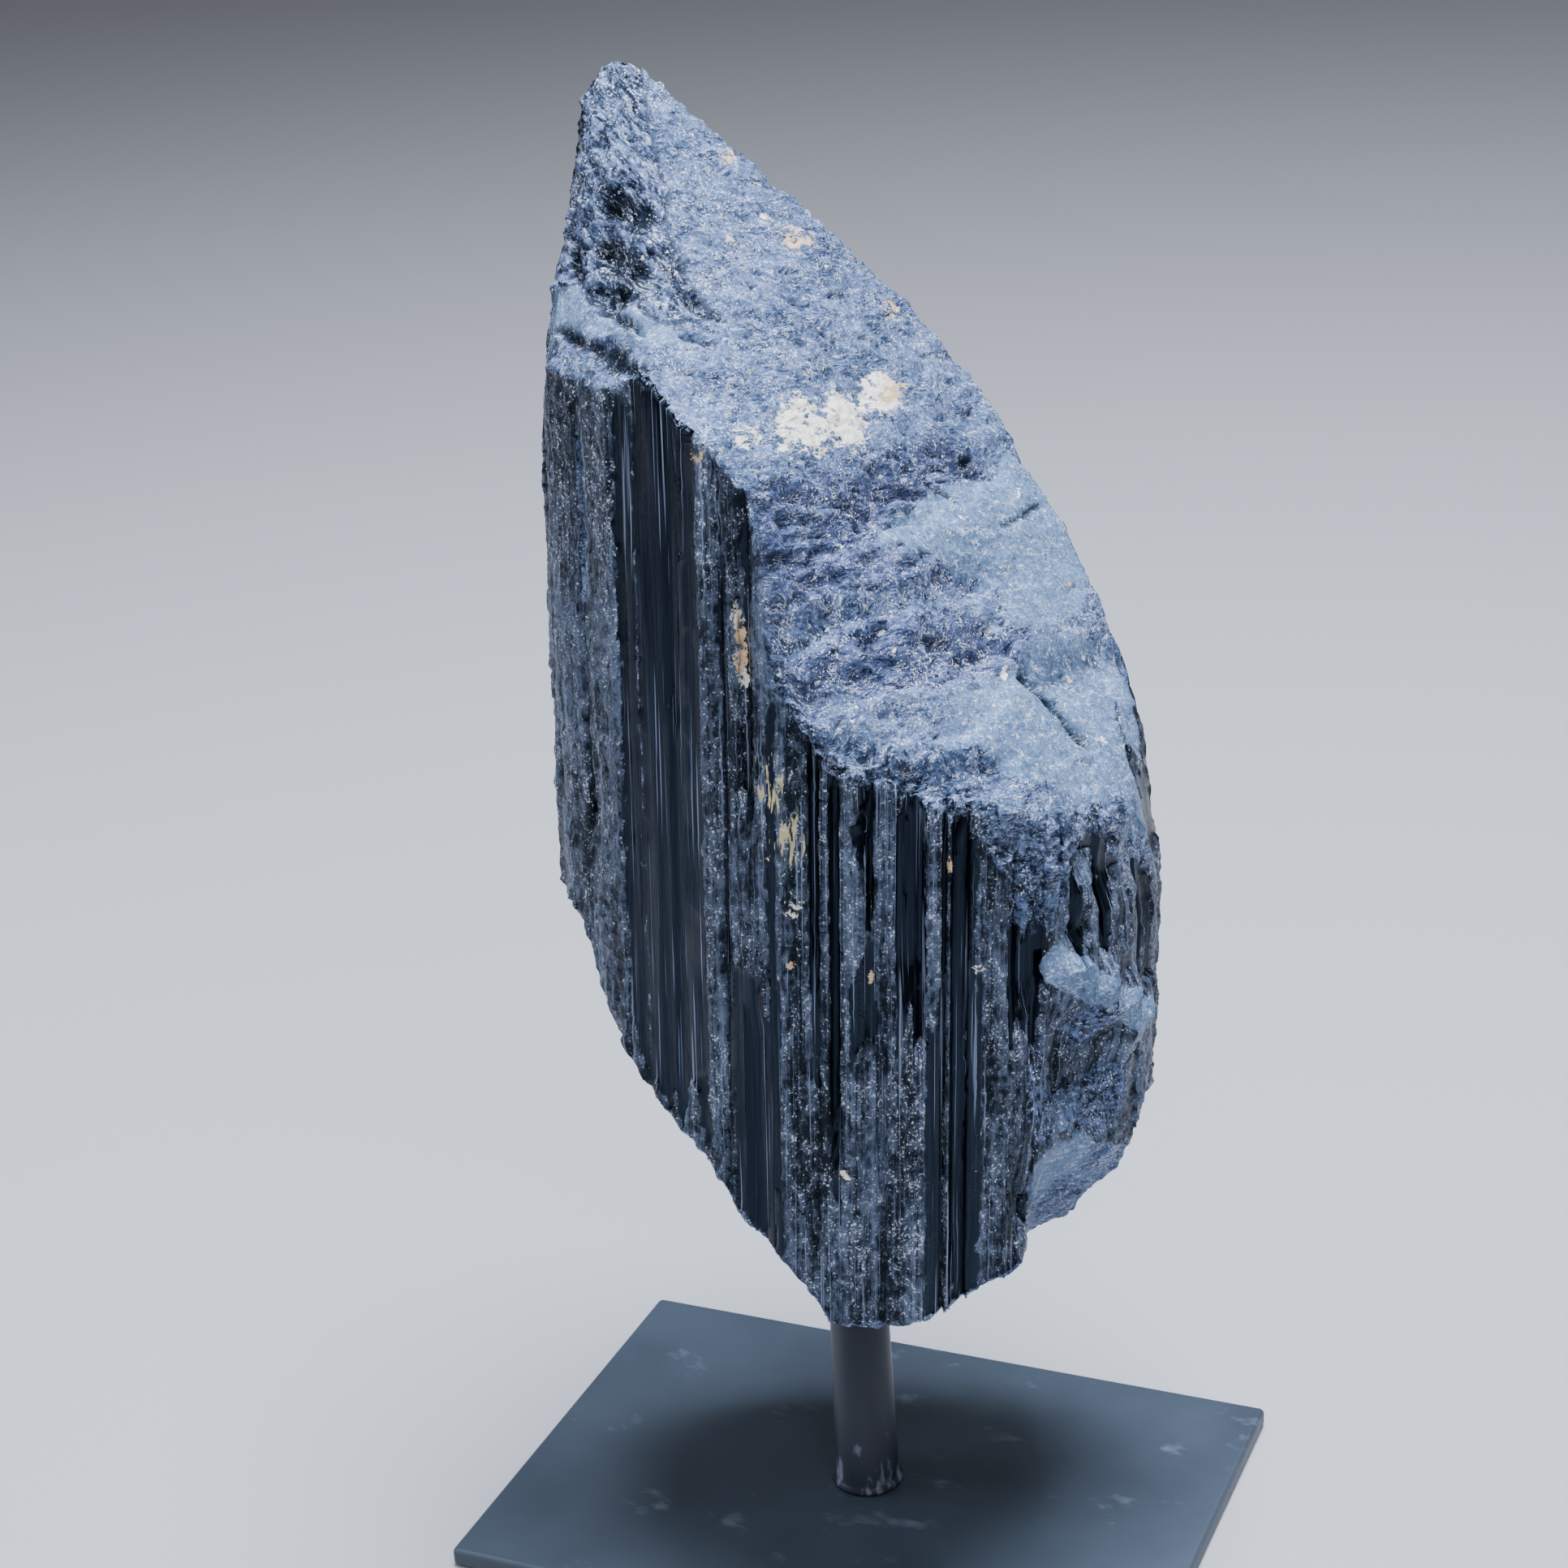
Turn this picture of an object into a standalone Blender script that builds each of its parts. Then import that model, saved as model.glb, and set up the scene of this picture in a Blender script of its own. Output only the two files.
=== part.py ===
"""Black tourmaline crystal on a tapered steel post and a steel plate.

Metres, +Z up. The origin lies under the centre of the plate, whose long side runs along X.
Lengths below are in millimetres unless they say otherwise.
"""

import math
import random

import bmesh
import bpy
from mathutils import Matrix, Vector, noise

MM = 0.001

# ---- stand ----
PLATE_LENGTH = 127.0
PLATE_WIDTH = 88.9
PLATE_THICKNESS = 3.5
PLATE_CORNER = 1.0            # radius of the four upright corners
PLATE_EDGE = 0.8              # rounding of the top and bottom rims
POST_FOOT_DIAMETER = 11.7     # the post tapers a little towards the stone
POST_TOP_DIAMETER = 9.9
POST_TOP = 66.0               # height of the post's end, inside the stone
POST_BEAD = 0.6               # how far the weld bead at the foot stands out
FIT_GAP = 0.3                 # clearance between pieces that meet

# ---- crystal: u across its broad front, v from front to back, both across its long axis ----
CRYSTAL_TURN = 24.24          # degrees about Z from the plate's long side to the front
LEAN = math.tan(math.radians(2.5))   # the long axis leans this much towards +u
LEAN_FROM = 140.0             # height at which the cross-section below holds
TOP_OF_BODY = 268.0
RING_LOW, RING_HIGH = 6.0, 13.0      # spacing of the rings up the sides, below and above RING_SPLIT
RING_SPLIT = 162.0
# cross-section, anticlockwise from the left edge:
# corner u, v, then the strip width and striation depth of the side that starts there
SECTION = (
    (-46.2, 4.0, 5.0, 0.5),
    (-44.9, -4.0, 6.0, 0.7),
    (-35.5, -21.0, 3.8, 0.35),
    (-21.0, -32.0, 3.2, 0.7),
    (-11.2, -38.5, 3.6, 1.1),
    (3.5, -41.5, 3.6, 1.2),
    (20.5, -40.5, 3.4, 1.2),
    (30.0, -36.5, 3.6, 1.2),
    (38.3, -30.0, 4.0, 1.1),
    (48.5, -18.0, 4.0, 1.0),
    (54.8, -6.0, 4.0, 0.9),
    (57.0, 3.0, 6.0, 1.0),
    (52.0, 15.0, 7.0, 1.2),
    (41.0, 25.0, 7.0, 1.2),
    (26.0, 31.5, 7.0, 1.2),
    (8.0, 35.0, 7.0, 1.2),
    (-10.0, 35.0, 7.0, 1.0),
    (-26.0, 31.0, 7.0, 1.0),
    (-38.0, 22.0, 6.0, 0.8),
    (-45.0, 12.0, 6.0, 0.5),
)
# upright slots where whole strips have broken away: centre u on the front, width, depth, bottom, top
SLOTS = (
    (-40.6, 1.6, 0.8, 136.0, 214.0),
    (-18.6, 1.2, 0.7, 84.0, 203.0),
    (-15.0, 2.2, 1.4, 150.0, 203.0),
    (-12.6, 7.4, 1.1, 60.0, 122.0),
    (-4.5, 1.3, 1.1, 126.0, 166.0),
    (-1.3, 1.5, 1.3, 96.0, 164.0),
    (3.9, 2.5, 2.0, 142.0, 160.0),
    (6.4, 1.2, 0.9, 58.0, 104.0),
    (10.9, 4.4, 2.6, 117.0, 157.0),
    (16.2, 1.0, 0.8, 70.0, 152.0),
    (19.6, 4.2, 1.2, 58.0, 150.0),
    (27.4, 2.0, 1.9, 112.0, 141.0),
    (31.0, 4.0, 2.2, 112.0, 131.0),
    (35.7, 1.4, 1.6, 130.0, 149.0),
    (38.3, 2.2, 1.7, 120.0, 134.0),
    (43.4, 2.0, 1.6, 120.0, 147.0),
    (51.2, 2.4, 1.7, 110.0, 132.0),
)
# places where a patch of the side has broken away: u, height, half width, half height, depth,
# and how much it falls towards +u (a negative depth leaves a lump standing out)
PATCHES = (
    (48.0, 137.0, 12.0, 12.0, 2.2, 0.5),
    (44.0, 111.0, 11.5, 6.0, -2.7, 1.2),
    (40.5, 99.5, 8.5, 10.0, 3.6, 0.7),
    (33.0, 83.0, 5.5, 9.0, 1.6, 0.0),
    (-42.0, 150.0, 5.0, 16.0, 0.7, 0.0),
    (-41.0, 196.0, 5.0, 18.0, 0.8, 0.0),
)
# flat facets of the broken top: slope along x, slope along y, height over the origin
UPPER_FACET = (-0.9, 0.66, 217.8)
OUTER_FACET = (-1.35, 0.74, 217.6)
LOWER_FACET = (-1.05, 0.80, 214.4)
FRONT_FACETS = ((-0.92, 1.78, 238.0), (-0.15, 1.35, 210.5))   # the higher of the two counts
RIGHT_FACET = (-2.58, 0.52, 280.0)
EDGE_FACET = (-6.0, 1.6, 454.5)
BACK_FACET = (-0.95, -0.95, 260.5)
SHOULDER = (1.35, 0.85, 276.5)
SHOULDER_BACK = (1.35, -0.45, 286.7)
SHOULDER_SIDE = (7.0, 0.0, 507.0)
BEVEL = (-0.51, 0.68, 223.9)         # the flat facet between the shoulder and the upper facet
SPIRE_WALL = (1.09, 2.8, 260.2)      # rises from the shoulder to the spire
SPIRE_FACE = (1.35, 0.85, 280.5)     # beyond that wall
SPIRE_SIDE = (4.9, 0.12, 415.5)
SPIRE_TIP = (0.5, -0.2, 279.0)
# the ledge that runs back and right across the top from the front ridge
LEDGE_FROM = (-10.5, -36.5)
LEDGE_TO = (31.0, 26.0)
LEDGE_DROP = 4.8              # at the ridge; it runs out towards the back
WALL_WIDTH = 2.6              # how far out the wall below that ledge reaches at the ridge
TREAD = 8.5                   # height between the fibrous ledges of the lower facets
TREAD_RELIEF = 0.75           # 0 leaves the facets plain, 1 makes their ledges full steps
# hollows in the top: x, y, radius, depth
HOLLOWS = (
    (-31.0, -1.0, 4.5, 3.4),
    (-25.0, -8.0, 4.0, 2.6),
    (-36.0, 6.0, 2.4, 3.0),
    (-19.5, -27.0, 3.2, 2.0),
    (-27.0, 12.0, 4.0, 1.8),
    (28.0, 20.0, 4.0, 1.6),
)
# flat facets of the broken underside, in the same form
UNDER_LEFT = (-1.5, -0.25, 44.9)
UNDER_FRONT = (0.0, -0.42, 44.8)
UNDER_RIGHT = (0.58, -0.38, 40.3)
# steps up the right end of the underside: x, height at the foot, at the top, slope beyond
UNDER_STEPS = ((44.0, 60.0, 66.8, 0.95), (49.5, 72.0, 78.0, 1.3), (54.3, 84.5, 92.0, 8.0))
STEP_SLOPE = -0.6             # slope of those steps along y
UNDER_BACK = (0.1, 0.75, 34.0)
UNDER_CHIP = (1.0, -1.5, 7.4)
CHIP_FROM = 28.5              # x where the chip's flat facet begins
NOTCH_AT = -38.6              # x where the left edge steps up
NOTCH_RISE = 12.0
CELL = 2.7                    # grid size on the broken faces


def material(name, colour, roughness, metallic=0.0):
    """A plain Principled material."""
    mat = bpy.data.materials.new(name)
    mat.use_nodes = True
    shader = mat.node_tree.nodes["Principled BSDF"]
    shader.inputs["Base Color"].default_value = (*colour, 1.0)
    shader.inputs["Roughness"].default_value = roughness
    shader.inputs["Metallic"].default_value = metallic
    return mat


def new_object(name, bm, collection, mat=None):
    """Turns a bmesh into an object, with its faces outward."""
    bmesh.ops.recalc_face_normals(bm, faces=bm.faces)
    mesh = bpy.data.meshes.new(name)
    bm.to_mesh(mesh)
    bm.free()
    obj = bpy.data.objects.new(name, mesh)
    if mat:
        mesh.materials.append(mat)
    collection.objects.link(obj)
    return obj


def smooth(t):
    """0 to 1 with soft ends."""
    t = min(1.0, max(0.0, t))
    return t * t * (3.0 - 2.0 * t)


def facet(plane, x, y):
    """Height of a flat facet at x, y."""
    return plane[2] + plane[0] * x + plane[1] * y


def rough(x, y, size, seed):
    """Even noise of -1 to 1 with lumps of the given size."""
    return noise.noise(Vector((x / size, y / size, seed)))


def ledge_distance(x, y):
    """Distance in front and to the right of the ledge line."""
    dx, dy = LEDGE_TO[0] - LEDGE_FROM[0], LEDGE_TO[1] - LEDGE_FROM[1]
    return (dy * (x - LEDGE_FROM[0]) - dx * (y - LEDGE_FROM[1])) / math.hypot(dx, dy)


def terraced(z, x, y):
    """A height broken into ledges with steep risers."""
    level = z / TREAD + 0.45 * rough(x, y, 18.0, 4.0) + 0.15 * rough(x, y, 6.0, 6.0)
    whole = math.floor(level)
    step = TREAD * (whole + smooth((level - whole - 0.5) / 0.5) - level)
    return z + TREAD_RELIEF * step * smooth((34.0 - x) / 12.0)


def top_height(x, y):
    """Height of the broken top of the crystal."""
    upper = min(facet(UPPER_FACET, x, y), facet(OUTER_FACET, x, y))
    drop = LEDGE_DROP * (0.25 + 0.75 * smooth((34.0 - x) / 34.0))
    front = max(facet(plane, x, y) for plane in FRONT_FACETS)
    lower = terraced(min(facet(LOWER_FACET, x, y), front, upper - drop), x, y)
    past = ledge_distance(x, y) + 1.2 * rough(x, y, 9.0, 1.0)
    z = upper + (lower - upper) * smooth(past / WALL_WIDTH)
    z = min(z, facet(RIGHT_FACET, x, y), facet(EDGE_FACET, x, y), facet(BACK_FACET, x, y))
    left = max(min(facet(plane, x, y) for plane in (SHOULDER, SHOULDER_BACK, BEVEL)),
               min(facet(plane, x, y) for plane in (SPIRE_WALL, SPIRE_FACE, SPIRE_SIDE)))
    in_spire = left < z
    z = min(z, left, facet(SHOULDER_SIDE, x, y), facet(SPIRE_TIP, x, y))
    for hx, hy, radius, depth in HOLLOWS:
        z -= depth * math.exp(-((x - hx) ** 2 + (y - hy) ** 2) / radius ** 2)
    z += 1.0 * rough(x, y, 13.0, 2.0) + 0.5 * rough(x, y, 5.0, 3.0)
    if in_spire:
        z += 2.0 * rough(x, y, 4.5, 5.0)
    return z


def under_height(x, y):
    """Height of the broken underside of the crystal."""
    left = facet(UNDER_LEFT, x, y) + NOTCH_RISE * smooth((NOTCH_AT - x) / 1.6)
    chip = facet(UNDER_CHIP, x, y) - 40.0 * smooth((CHIP_FROM - x) / 2.0)
    z = max(left, facet(UNDER_FRONT, x, y), facet(UNDER_RIGHT, x, y), facet(UNDER_BACK, x, y), chip)
    for at, foot, top, slope in UNDER_STEPS:
        z = max(z, min(foot + 8.0 * (x - at), top + slope * (x - at)) + STEP_SLOPE * y)
    return z + 2.2 * rough(x, y, 10.0, 7.0) + 1.3 * rough(x, y, 4.5, 8.0)


def striated_outline():
    """Points of the cross-section as (u, v, outward, strip number, inset, slots).

    Every side is divided into strips, and a strip's two edges share its inset, so each strip
    is a flat narrow face with a small wall to its neighbour.
    """
    rng = random.Random(11)
    points, strip, inset = [], 0, 0.0
    for k, (u0, v0, width, depth) in enumerate(SECTION):
        u1, v1 = SECTION[(k + 1) % len(SECTION)][:2]
        length = math.hypot(u1 - u0, v1 - v0)
        outward = Vector(((v1 - v0) / length, -(u1 - u0) / length))
        along = Vector(((u1 - u0) / length, (v1 - v0) / length))
        front = 1 <= k <= 9
        slots = [s for s in SLOTS if front and u0 <= s[0] < u1]
        cuts = {}
        for slot in slots:
            for side in (-0.5, 0.5):
                at = (slot[0] + side * slot[1] * along.x - u0) / along.x
                cuts[min(length - 0.25, max(0.25, at))] = True
        for n in range(1, max(1, round(length / width))):
            at = (n + rng.uniform(-0.32, 0.32)) * length / max(1, round(length / width))
            if all(abs(at - c) > 1.3 for c in cuts):
                cuts[at] = True
        edges = [0.0] + sorted(cuts) + [length]
        for n, (a, b) in enumerate(zip(edges, edges[1:])):
            if n:
                strip += 1
                inset = rng.uniform(0.0, depth)
            mid = u0 + along.x * (a + b) / 2
            inside = [s for s in slots if abs(mid - s[0]) < 0.5 * s[1] * abs(along.x)]
            # each strip starts just after its edge; a side's first strip shares the corner
            starts = a + (0.11 if n else 0.0)
            ends = b - (0.11 if b < length else 0.0)
            for at in (starts, ends) if b < length else (starts,):
                points.append((u0 + along.x * at, v0 + along.y * at, outward, strip, inset, inside))
    return points


def side_inset(point, z):
    """How far a point of the outline lies inside the plain cross-section at a height."""
    u, v, _, strip, inset, slots = point
    inset += 0.35 * noise.noise(Vector((strip * 3.7, z / 30.0, 9.0)))
    for centre, _, depth, low, high in slots:
        # a slot's ends run out slantwise, as a strip snaps
        slant = 5.0 if u > centre else -5.0
        if low - slant < z < high + slant:
            inset += depth
    if v < 6.0:
        for pu, pz, half_u, half_z, depth, fall in PATCHES:
            reach = ((u - pu) / half_u) ** 2 + ((z - pz + fall * (u - pu)) / half_z) ** 2
            if reach < 1.0:
                inset += depth * smooth(1.6 * (1.0 - reach))
                inset += 0.5 * abs(depth) * noise.noise(Vector((u / 3.0, z / 6.0, 3.0)))
    return inset


def crystal_body():
    """The striated prism, before its ends are broken off, lofted up its rings."""
    bm = bmesh.new()
    points = striated_outline()
    heights = [36.0]
    while heights[-1] < TOP_OF_BODY:
        heights.append(heights[-1] + (RING_LOW if heights[-1] < RING_SPLIT else RING_HIGH))
    rings = []
    for level in heights:
        z = level + 1.4 * noise.noise(Vector((level * 0.37, 0.0, 2.0)))
        ring = []
        for point in points:
            u, v, outward = point[:3]
            inset = side_inset(point, z)
            x = u - outward.x * inset + LEAN * (z - LEAN_FROM)
            ring.append(bm.verts.new((x * MM, (v - outward.y * inset) * MM, z * MM)))
        rings.append(ring)
    count = len(points)
    for low, high in zip(rings, rings[1:]):
        for i in range(count):
            j = (i + 1) % count
            bm.faces.new((low[i], low[j], high[j], high[i]))
    bm.faces.new(list(reversed(rings[0])))
    bm.faces.new(rings[-1])
    return bm


def fracture_cutter(height, far):
    """A solid between a rough height field and a far level, to break off one end."""
    x0, x1, y0, y1 = -58.0, 68.0, -50.0, 46.0
    bm = bmesh.new()
    nx, ny = round((x1 - x0) / CELL), round((y1 - y0) / CELL)
    bmesh.ops.create_grid(bm, x_segments=nx, y_segments=ny, size=0.5)
    rng = random.Random(5)
    for vert in bm.verts:
        x = x0 + (vert.co.x + 0.5) * (x1 - x0)
        y = y0 + (vert.co.y + 0.5) * (y1 - y0)
        if not vert.is_boundary:
            x += rng.uniform(-0.28, 0.28) * CELL
            y += rng.uniform(-0.28, 0.28) * CELL
        vert.co = Vector((x, y, height(x, y))) * MM
    grown = bmesh.ops.extrude_face_region(bm, geom=list(bm.faces))
    for item in grown["geom"]:
        if isinstance(item, bmesh.types.BMVert):
            item.co.z = far * MM
    return bm


def post_radius(z):
    """Radius of the tapered post at a height."""
    share = (z - PLATE_THICKNESS) / (POST_TOP - PLATE_THICKNESS)
    return (POST_FOOT_DIAMETER + (POST_TOP_DIAMETER - POST_FOOT_DIAMETER) * share) / 2


def post_profile(bm, rings, segments=32):
    """A turned solid from (radius, height) rings, closed at both ends."""
    verts = [bm.verts.new((r * MM, 0.0, z * MM)) for r, z in rings]
    edges = [bm.edges.new(pair) for pair in zip(verts, verts[1:])]
    bmesh.ops.spin(bm, geom=verts + edges, cent=(0, 0, 0), axis=(0, 0, 1),
                   angle=2 * math.pi, steps=segments, use_merge=True)
    bmesh.ops.remove_doubles(bm, verts=bm.verts, dist=1e-6)
    bmesh.ops.holes_fill(bm, edges=[e for e in bm.edges if e.is_boundary], sides=0)


def build_crystal(parts, cutters, mat):
    """The crystal: one solid, broken at both ends and drilled for its post."""
    turn = Matrix.Rotation(math.radians(CRYSTAL_TURN), 4, "Z")
    bodies = []
    for name, bm, home in (("crystal", crystal_body(), parts),
                           ("cut_top", fracture_cutter(top_height, 300.0), cutters),
                           ("cut_underside", fracture_cutter(under_height, 5.0), cutters)):
        bm.transform(turn)
        bodies.append(new_object(name, bm, home, mat if home is parts else None))
    hole = bmesh.new()
    low, high = 10.0, POST_TOP + FIT_GAP
    bmesh.ops.create_cone(hole, cap_ends=True, segments=32,
                          radius1=(post_radius(low) + FIT_GAP) * MM,
                          radius2=(post_radius(high) + FIT_GAP) * MM, depth=(high - low) * MM,
                          matrix=Matrix.Translation((0, 0, (high + low) / 2 * MM)))
    bodies.append(new_object("cut_post_hole", hole, cutters))
    crystal = bodies[0]
    for cutter in bodies[1:]:
        cutter.hide_render = True
        cutter.display_type = "WIRE"
        mod = crystal.modifiers.new(cutter.name, "BOOLEAN")
        mod.operation = "DIFFERENCE"
        mod.solver = "EXACT"
        mod.object = cutter
    return crystal


def build_post(parts, mat):
    """The tapered post, with the bead that joins it to the plate."""
    bm = bmesh.new()
    foot = PLATE_THICKNESS + FIT_GAP
    bead = post_radius(foot) + POST_BEAD
    rings = [(bead, foot), (bead, foot + 0.5), (bead - 0.65 * POST_BEAD, foot + 1.1),
             (post_radius(foot + 1.6), foot + 1.6), (post_radius(POST_TOP - 0.7), POST_TOP - 0.7),
             (post_radius(POST_TOP) - 0.7, POST_TOP)]
    post_profile(bm, rings)
    post = new_object("post", bm, parts, mat)
    for poly in post.data.polygons:
        poly.use_smooth = abs(poly.normal.z) < 0.9
    return post


def build_plate(parts, mat):
    """The flat base plate, with rounded corners and rims."""
    bm = bmesh.new()
    bmesh.ops.create_cube(bm, size=1.0)
    bmesh.ops.scale(bm, vec=(PLATE_LENGTH * MM, PLATE_WIDTH * MM, PLATE_THICKNESS * MM), verts=bm.verts)
    bmesh.ops.translate(bm, vec=(0, 0, PLATE_THICKNESS / 2 * MM), verts=bm.verts)
    upright = [e for e in bm.edges if abs(e.verts[0].co.z - e.verts[1].co.z) > 1e-6]
    bmesh.ops.bevel(bm, geom=upright, offset=PLATE_CORNER * MM, segments=4, profile=0.5,
                    affect="EDGES", material=-1)
    flat = [e for e in bm.edges if abs(e.verts[0].co.z - e.verts[1].co.z) < 1e-9]
    bmesh.ops.bevel(bm, geom=flat, offset=PLATE_EDGE * MM, segments=3, profile=0.5,
                    affect="EDGES", material=-1)
    return new_object("base_plate", bm, parts, mat)


def main():
    """Builds the crystal, the post and the plate."""
    for obj in list(bpy.data.objects):
        bpy.data.objects.remove(obj)
    parts = bpy.data.collections.new("black tourmaline on stand")
    cutters = bpy.data.collections.new("cutters")
    for collection in (parts, cutters):
        bpy.context.scene.collection.children.link(collection)
    build_crystal(parts, cutters, material("tourmaline", (0.012, 0.016, 0.024), 0.35))
    build_post(parts, material("post_paint", (0.02, 0.022, 0.026), 0.5))
    build_plate(parts, material("plate_paint", (0.03, 0.034, 0.04), 0.55))


main()
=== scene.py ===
"""Black tourmaline crystal on its display stand, dressed over the fixed frame.

The crystal is a fine copy of its solid, worked over with striations, steps, chips and grain.
The post and plate are merged copies of their solids with painted steel finishes.
"""

import logging
import math
from dataclasses import dataclass, field
from enum import Enum
from functools import partial
from itertools import product

import bmesh
import bpy
import numpy as np
from mathutils import Matrix, Vector


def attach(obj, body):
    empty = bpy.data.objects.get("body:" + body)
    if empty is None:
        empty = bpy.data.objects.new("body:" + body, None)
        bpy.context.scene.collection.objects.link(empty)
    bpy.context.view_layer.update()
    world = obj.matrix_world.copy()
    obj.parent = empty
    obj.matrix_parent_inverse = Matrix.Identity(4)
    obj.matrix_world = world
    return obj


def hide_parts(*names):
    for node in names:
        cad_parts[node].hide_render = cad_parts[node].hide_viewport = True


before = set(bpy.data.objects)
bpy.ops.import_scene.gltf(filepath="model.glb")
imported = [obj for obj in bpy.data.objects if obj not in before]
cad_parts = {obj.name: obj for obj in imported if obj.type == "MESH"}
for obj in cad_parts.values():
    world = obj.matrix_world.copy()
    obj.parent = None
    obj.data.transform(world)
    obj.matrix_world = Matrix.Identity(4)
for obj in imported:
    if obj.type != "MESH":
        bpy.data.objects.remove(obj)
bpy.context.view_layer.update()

log = logging.getLogger("tourmaline")
MM = 0.001
LATTICE = 4096  # entries in a table of noise; a power of two
LOW, HIGH = 0.3, 0.7  # most values of a pattern lie between these
Socket = bpy.types.NodeSocket
Point = tuple[float, float, float]
Line = tuple[tuple[float, ...], ...]


def linear(hex_colour: str) -> tuple[float, float, float, float]:
    """Turns an sRGB hex colour to linear light.

    Args:
        hex_colour: Six hex digits, with or without a leading hash.

    Returns:
        Red, green and blue from 0 to 1 in linear light, and an alpha of 1.
    """
    digits = hex_colour.lstrip("#")
    levels = [int(digits[i : i + 2], 16) / 255 for i in (0, 2, 4)]
    bright = [c / 12.92 if c <= 0.04045 else ((c + 0.055) / 1.055) ** 2.4 for c in levels]
    return (bright[0], bright[1], bright[2], 1.0)


def add_node(tree: bpy.types.NodeTree, kind: str, feeds: dict[int | str, object],
             output: int | str = 0, **settings: object) -> Socket:
    """Adds a node, sets it up and links what feeds it.

    Args:
        tree: The node tree that gets the node.
        kind: The node's type, without its ShaderNode prefix.
        feeds: Socket name or number to a value, or to the output that feeds it.
        output: The name or number of the output that is wanted.
        settings: Properties of the node itself.

    Returns:
        The output that is wanted.
    """
    node = tree.nodes.new("ShaderNode" + kind)
    for name, value in settings.items():
        setattr(node, name, value)
    for name, value in feeds.items():
        if isinstance(value, Socket):
            tree.links.new(value, node.inputs[name])
        else:
            node.inputs[name].default_value = value
    return node.outputs[output]


def new_material(name: str) -> tuple[bpy.types.Material, bpy.types.NodeTree, bpy.types.Node]:
    """Makes a material with its Principled shader.

    Args:
        name: The material's name.

    Returns:
        The material, its node tree and the shader.
    """
    material = bpy.data.materials.new(name)
    material.use_nodes = True
    tree = material.node_tree
    return material, tree, tree.nodes["Principled BSDF"]


def merged_copy(node: str, name: str) -> tuple[bpy.types.Object, bmesh.types.BMesh]:
    """Copies a solid's mesh and welds its loose triangles.

    Args:
        node: The solid's node in the frame.
        name: The name of the new piece.

    Returns:
        An empty object for the piece, already in the scene, and the welded bmesh.
    """
    bm = bmesh.new()
    bm.from_mesh(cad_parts[node].data)
    bmesh.ops.remove_doubles(bm, verts=bm.verts, dist=2e-6)
    piece = bpy.data.objects.new(name, bpy.data.meshes.new(name))
    bpy.context.scene.collection.objects.link(piece)
    return piece, bm


class Grain:
    """Smooth lattice noise in three dimensions, the same on every run."""

    def __init__(self, seed: int) -> None:
        """Draws the lattice from a seed."""
        self.table = np.random.default_rng(seed).uniform(-1.0, 1.0, LATTICE)

    def __call__(self, points: np.ndarray, size: Point | float) -> np.ndarray:
        """Reads the noise.

        Args:
            points: An array of positions, one to a row.
            size: The size of the lumps, along each axis if it is a tuple.

        Returns:
            One value of about -1 to 1 for each position.
        """
        scaled = points / np.array(size)
        cell = np.floor(scaled).astype(np.int64)
        part = scaled - cell
        blend = part * part * (3.0 - 2.0 * part)
        total = np.zeros(len(points))
        for offset in product((0, 1), repeat=3):
            weight = np.prod(np.where(np.array(offset) == 1, blend, 1.0 - blend), axis=1)
            total += weight * self.table[lattice_key(cell + np.array(offset))]
        return total


class Shards:
    """Flat chips at random tilts and levels, like crumpled foil, the same on every run."""

    def __init__(self, seed: int) -> None:
        """Draws each chip's place, tilt and level from a seed."""
        self.table = np.random.default_rng(seed).uniform(-1.0, 1.0, (LATTICE, 7))

    def __call__(self, points: np.ndarray, size: Point | float) -> np.ndarray:
        """Reads the height of the chips.

        Args:
            points: An array of positions, one to a row.
            size: The size of the chips, along each axis if it is a tuple.

        Returns:
            One value of about -1 to 1 for each position, with a jump between chips.
        """
        scaled = points / np.array(size)
        cell = np.floor(scaled).astype(np.int64)
        nearest = np.full(len(points), np.inf)
        height = np.zeros(len(points))
        for offset in product((-1, 0, 1), repeat=3):
            near = cell + np.array(offset)
            chip = self.table[lattice_key(near)]
            gap = scaled - (near + 0.5 + 0.45 * chip[:, :3])
            far = (gap * gap).sum(axis=1)
            closer = far < nearest
            nearest = np.where(closer, far, nearest)
            height = np.where(closer, (gap * chip[:, 3:6]).sum(axis=1) + 0.5 * chip[:, 6], height)
        return height


def lattice_key(cell: np.ndarray) -> np.ndarray:
    """Turns whole lattice positions to numbers below the lattice's size."""
    return (cell[:, 0] * 73856093 ^ cell[:, 1] * 19349663 ^ cell[:, 2] * 83492791) & (LATTICE - 1)


def ramp(values: np.ndarray, low: float, high: float) -> np.ndarray:
    """A smooth step of values from 0 at low to 1 at high."""
    share = np.clip((values - low) / (high - low), 0.0, 1.0)
    return share * share * (3.0 - 2.0 * share)


def against_line(at: np.ndarray, line: Line) -> tuple[np.ndarray, np.ndarray, np.ndarray]:
    """Measures points against a line of straight runs, in plan or in space.

    Args:
        at: An array of positions, one to a row, with as many columns as the line's corners.
        line: The line's corners.

    Returns:
        The distance to the line, the way along it to the nearest spot, and the nearest run's
        number.
    """
    gap, way, run = np.full(len(at), np.inf), np.zeros(len(at)), np.zeros(len(at), dtype=int)
    start = 0.0
    for number, (first, last) in enumerate(zip(line, line[1:])):
        a, b = np.array(first), np.array(last)
        length = float(np.linalg.norm(b - a))
        along = (b - a) / length
        share = np.clip((at - a) @ along, 0.0, length)
        far = np.linalg.norm(at - (a + share[:, None] * along), axis=1)
        closer = far < gap
        gap, way = np.where(closer, far, gap), np.where(closer, start + share, way)
        run[closer] = number
        start += length
    return gap, way, run


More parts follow.
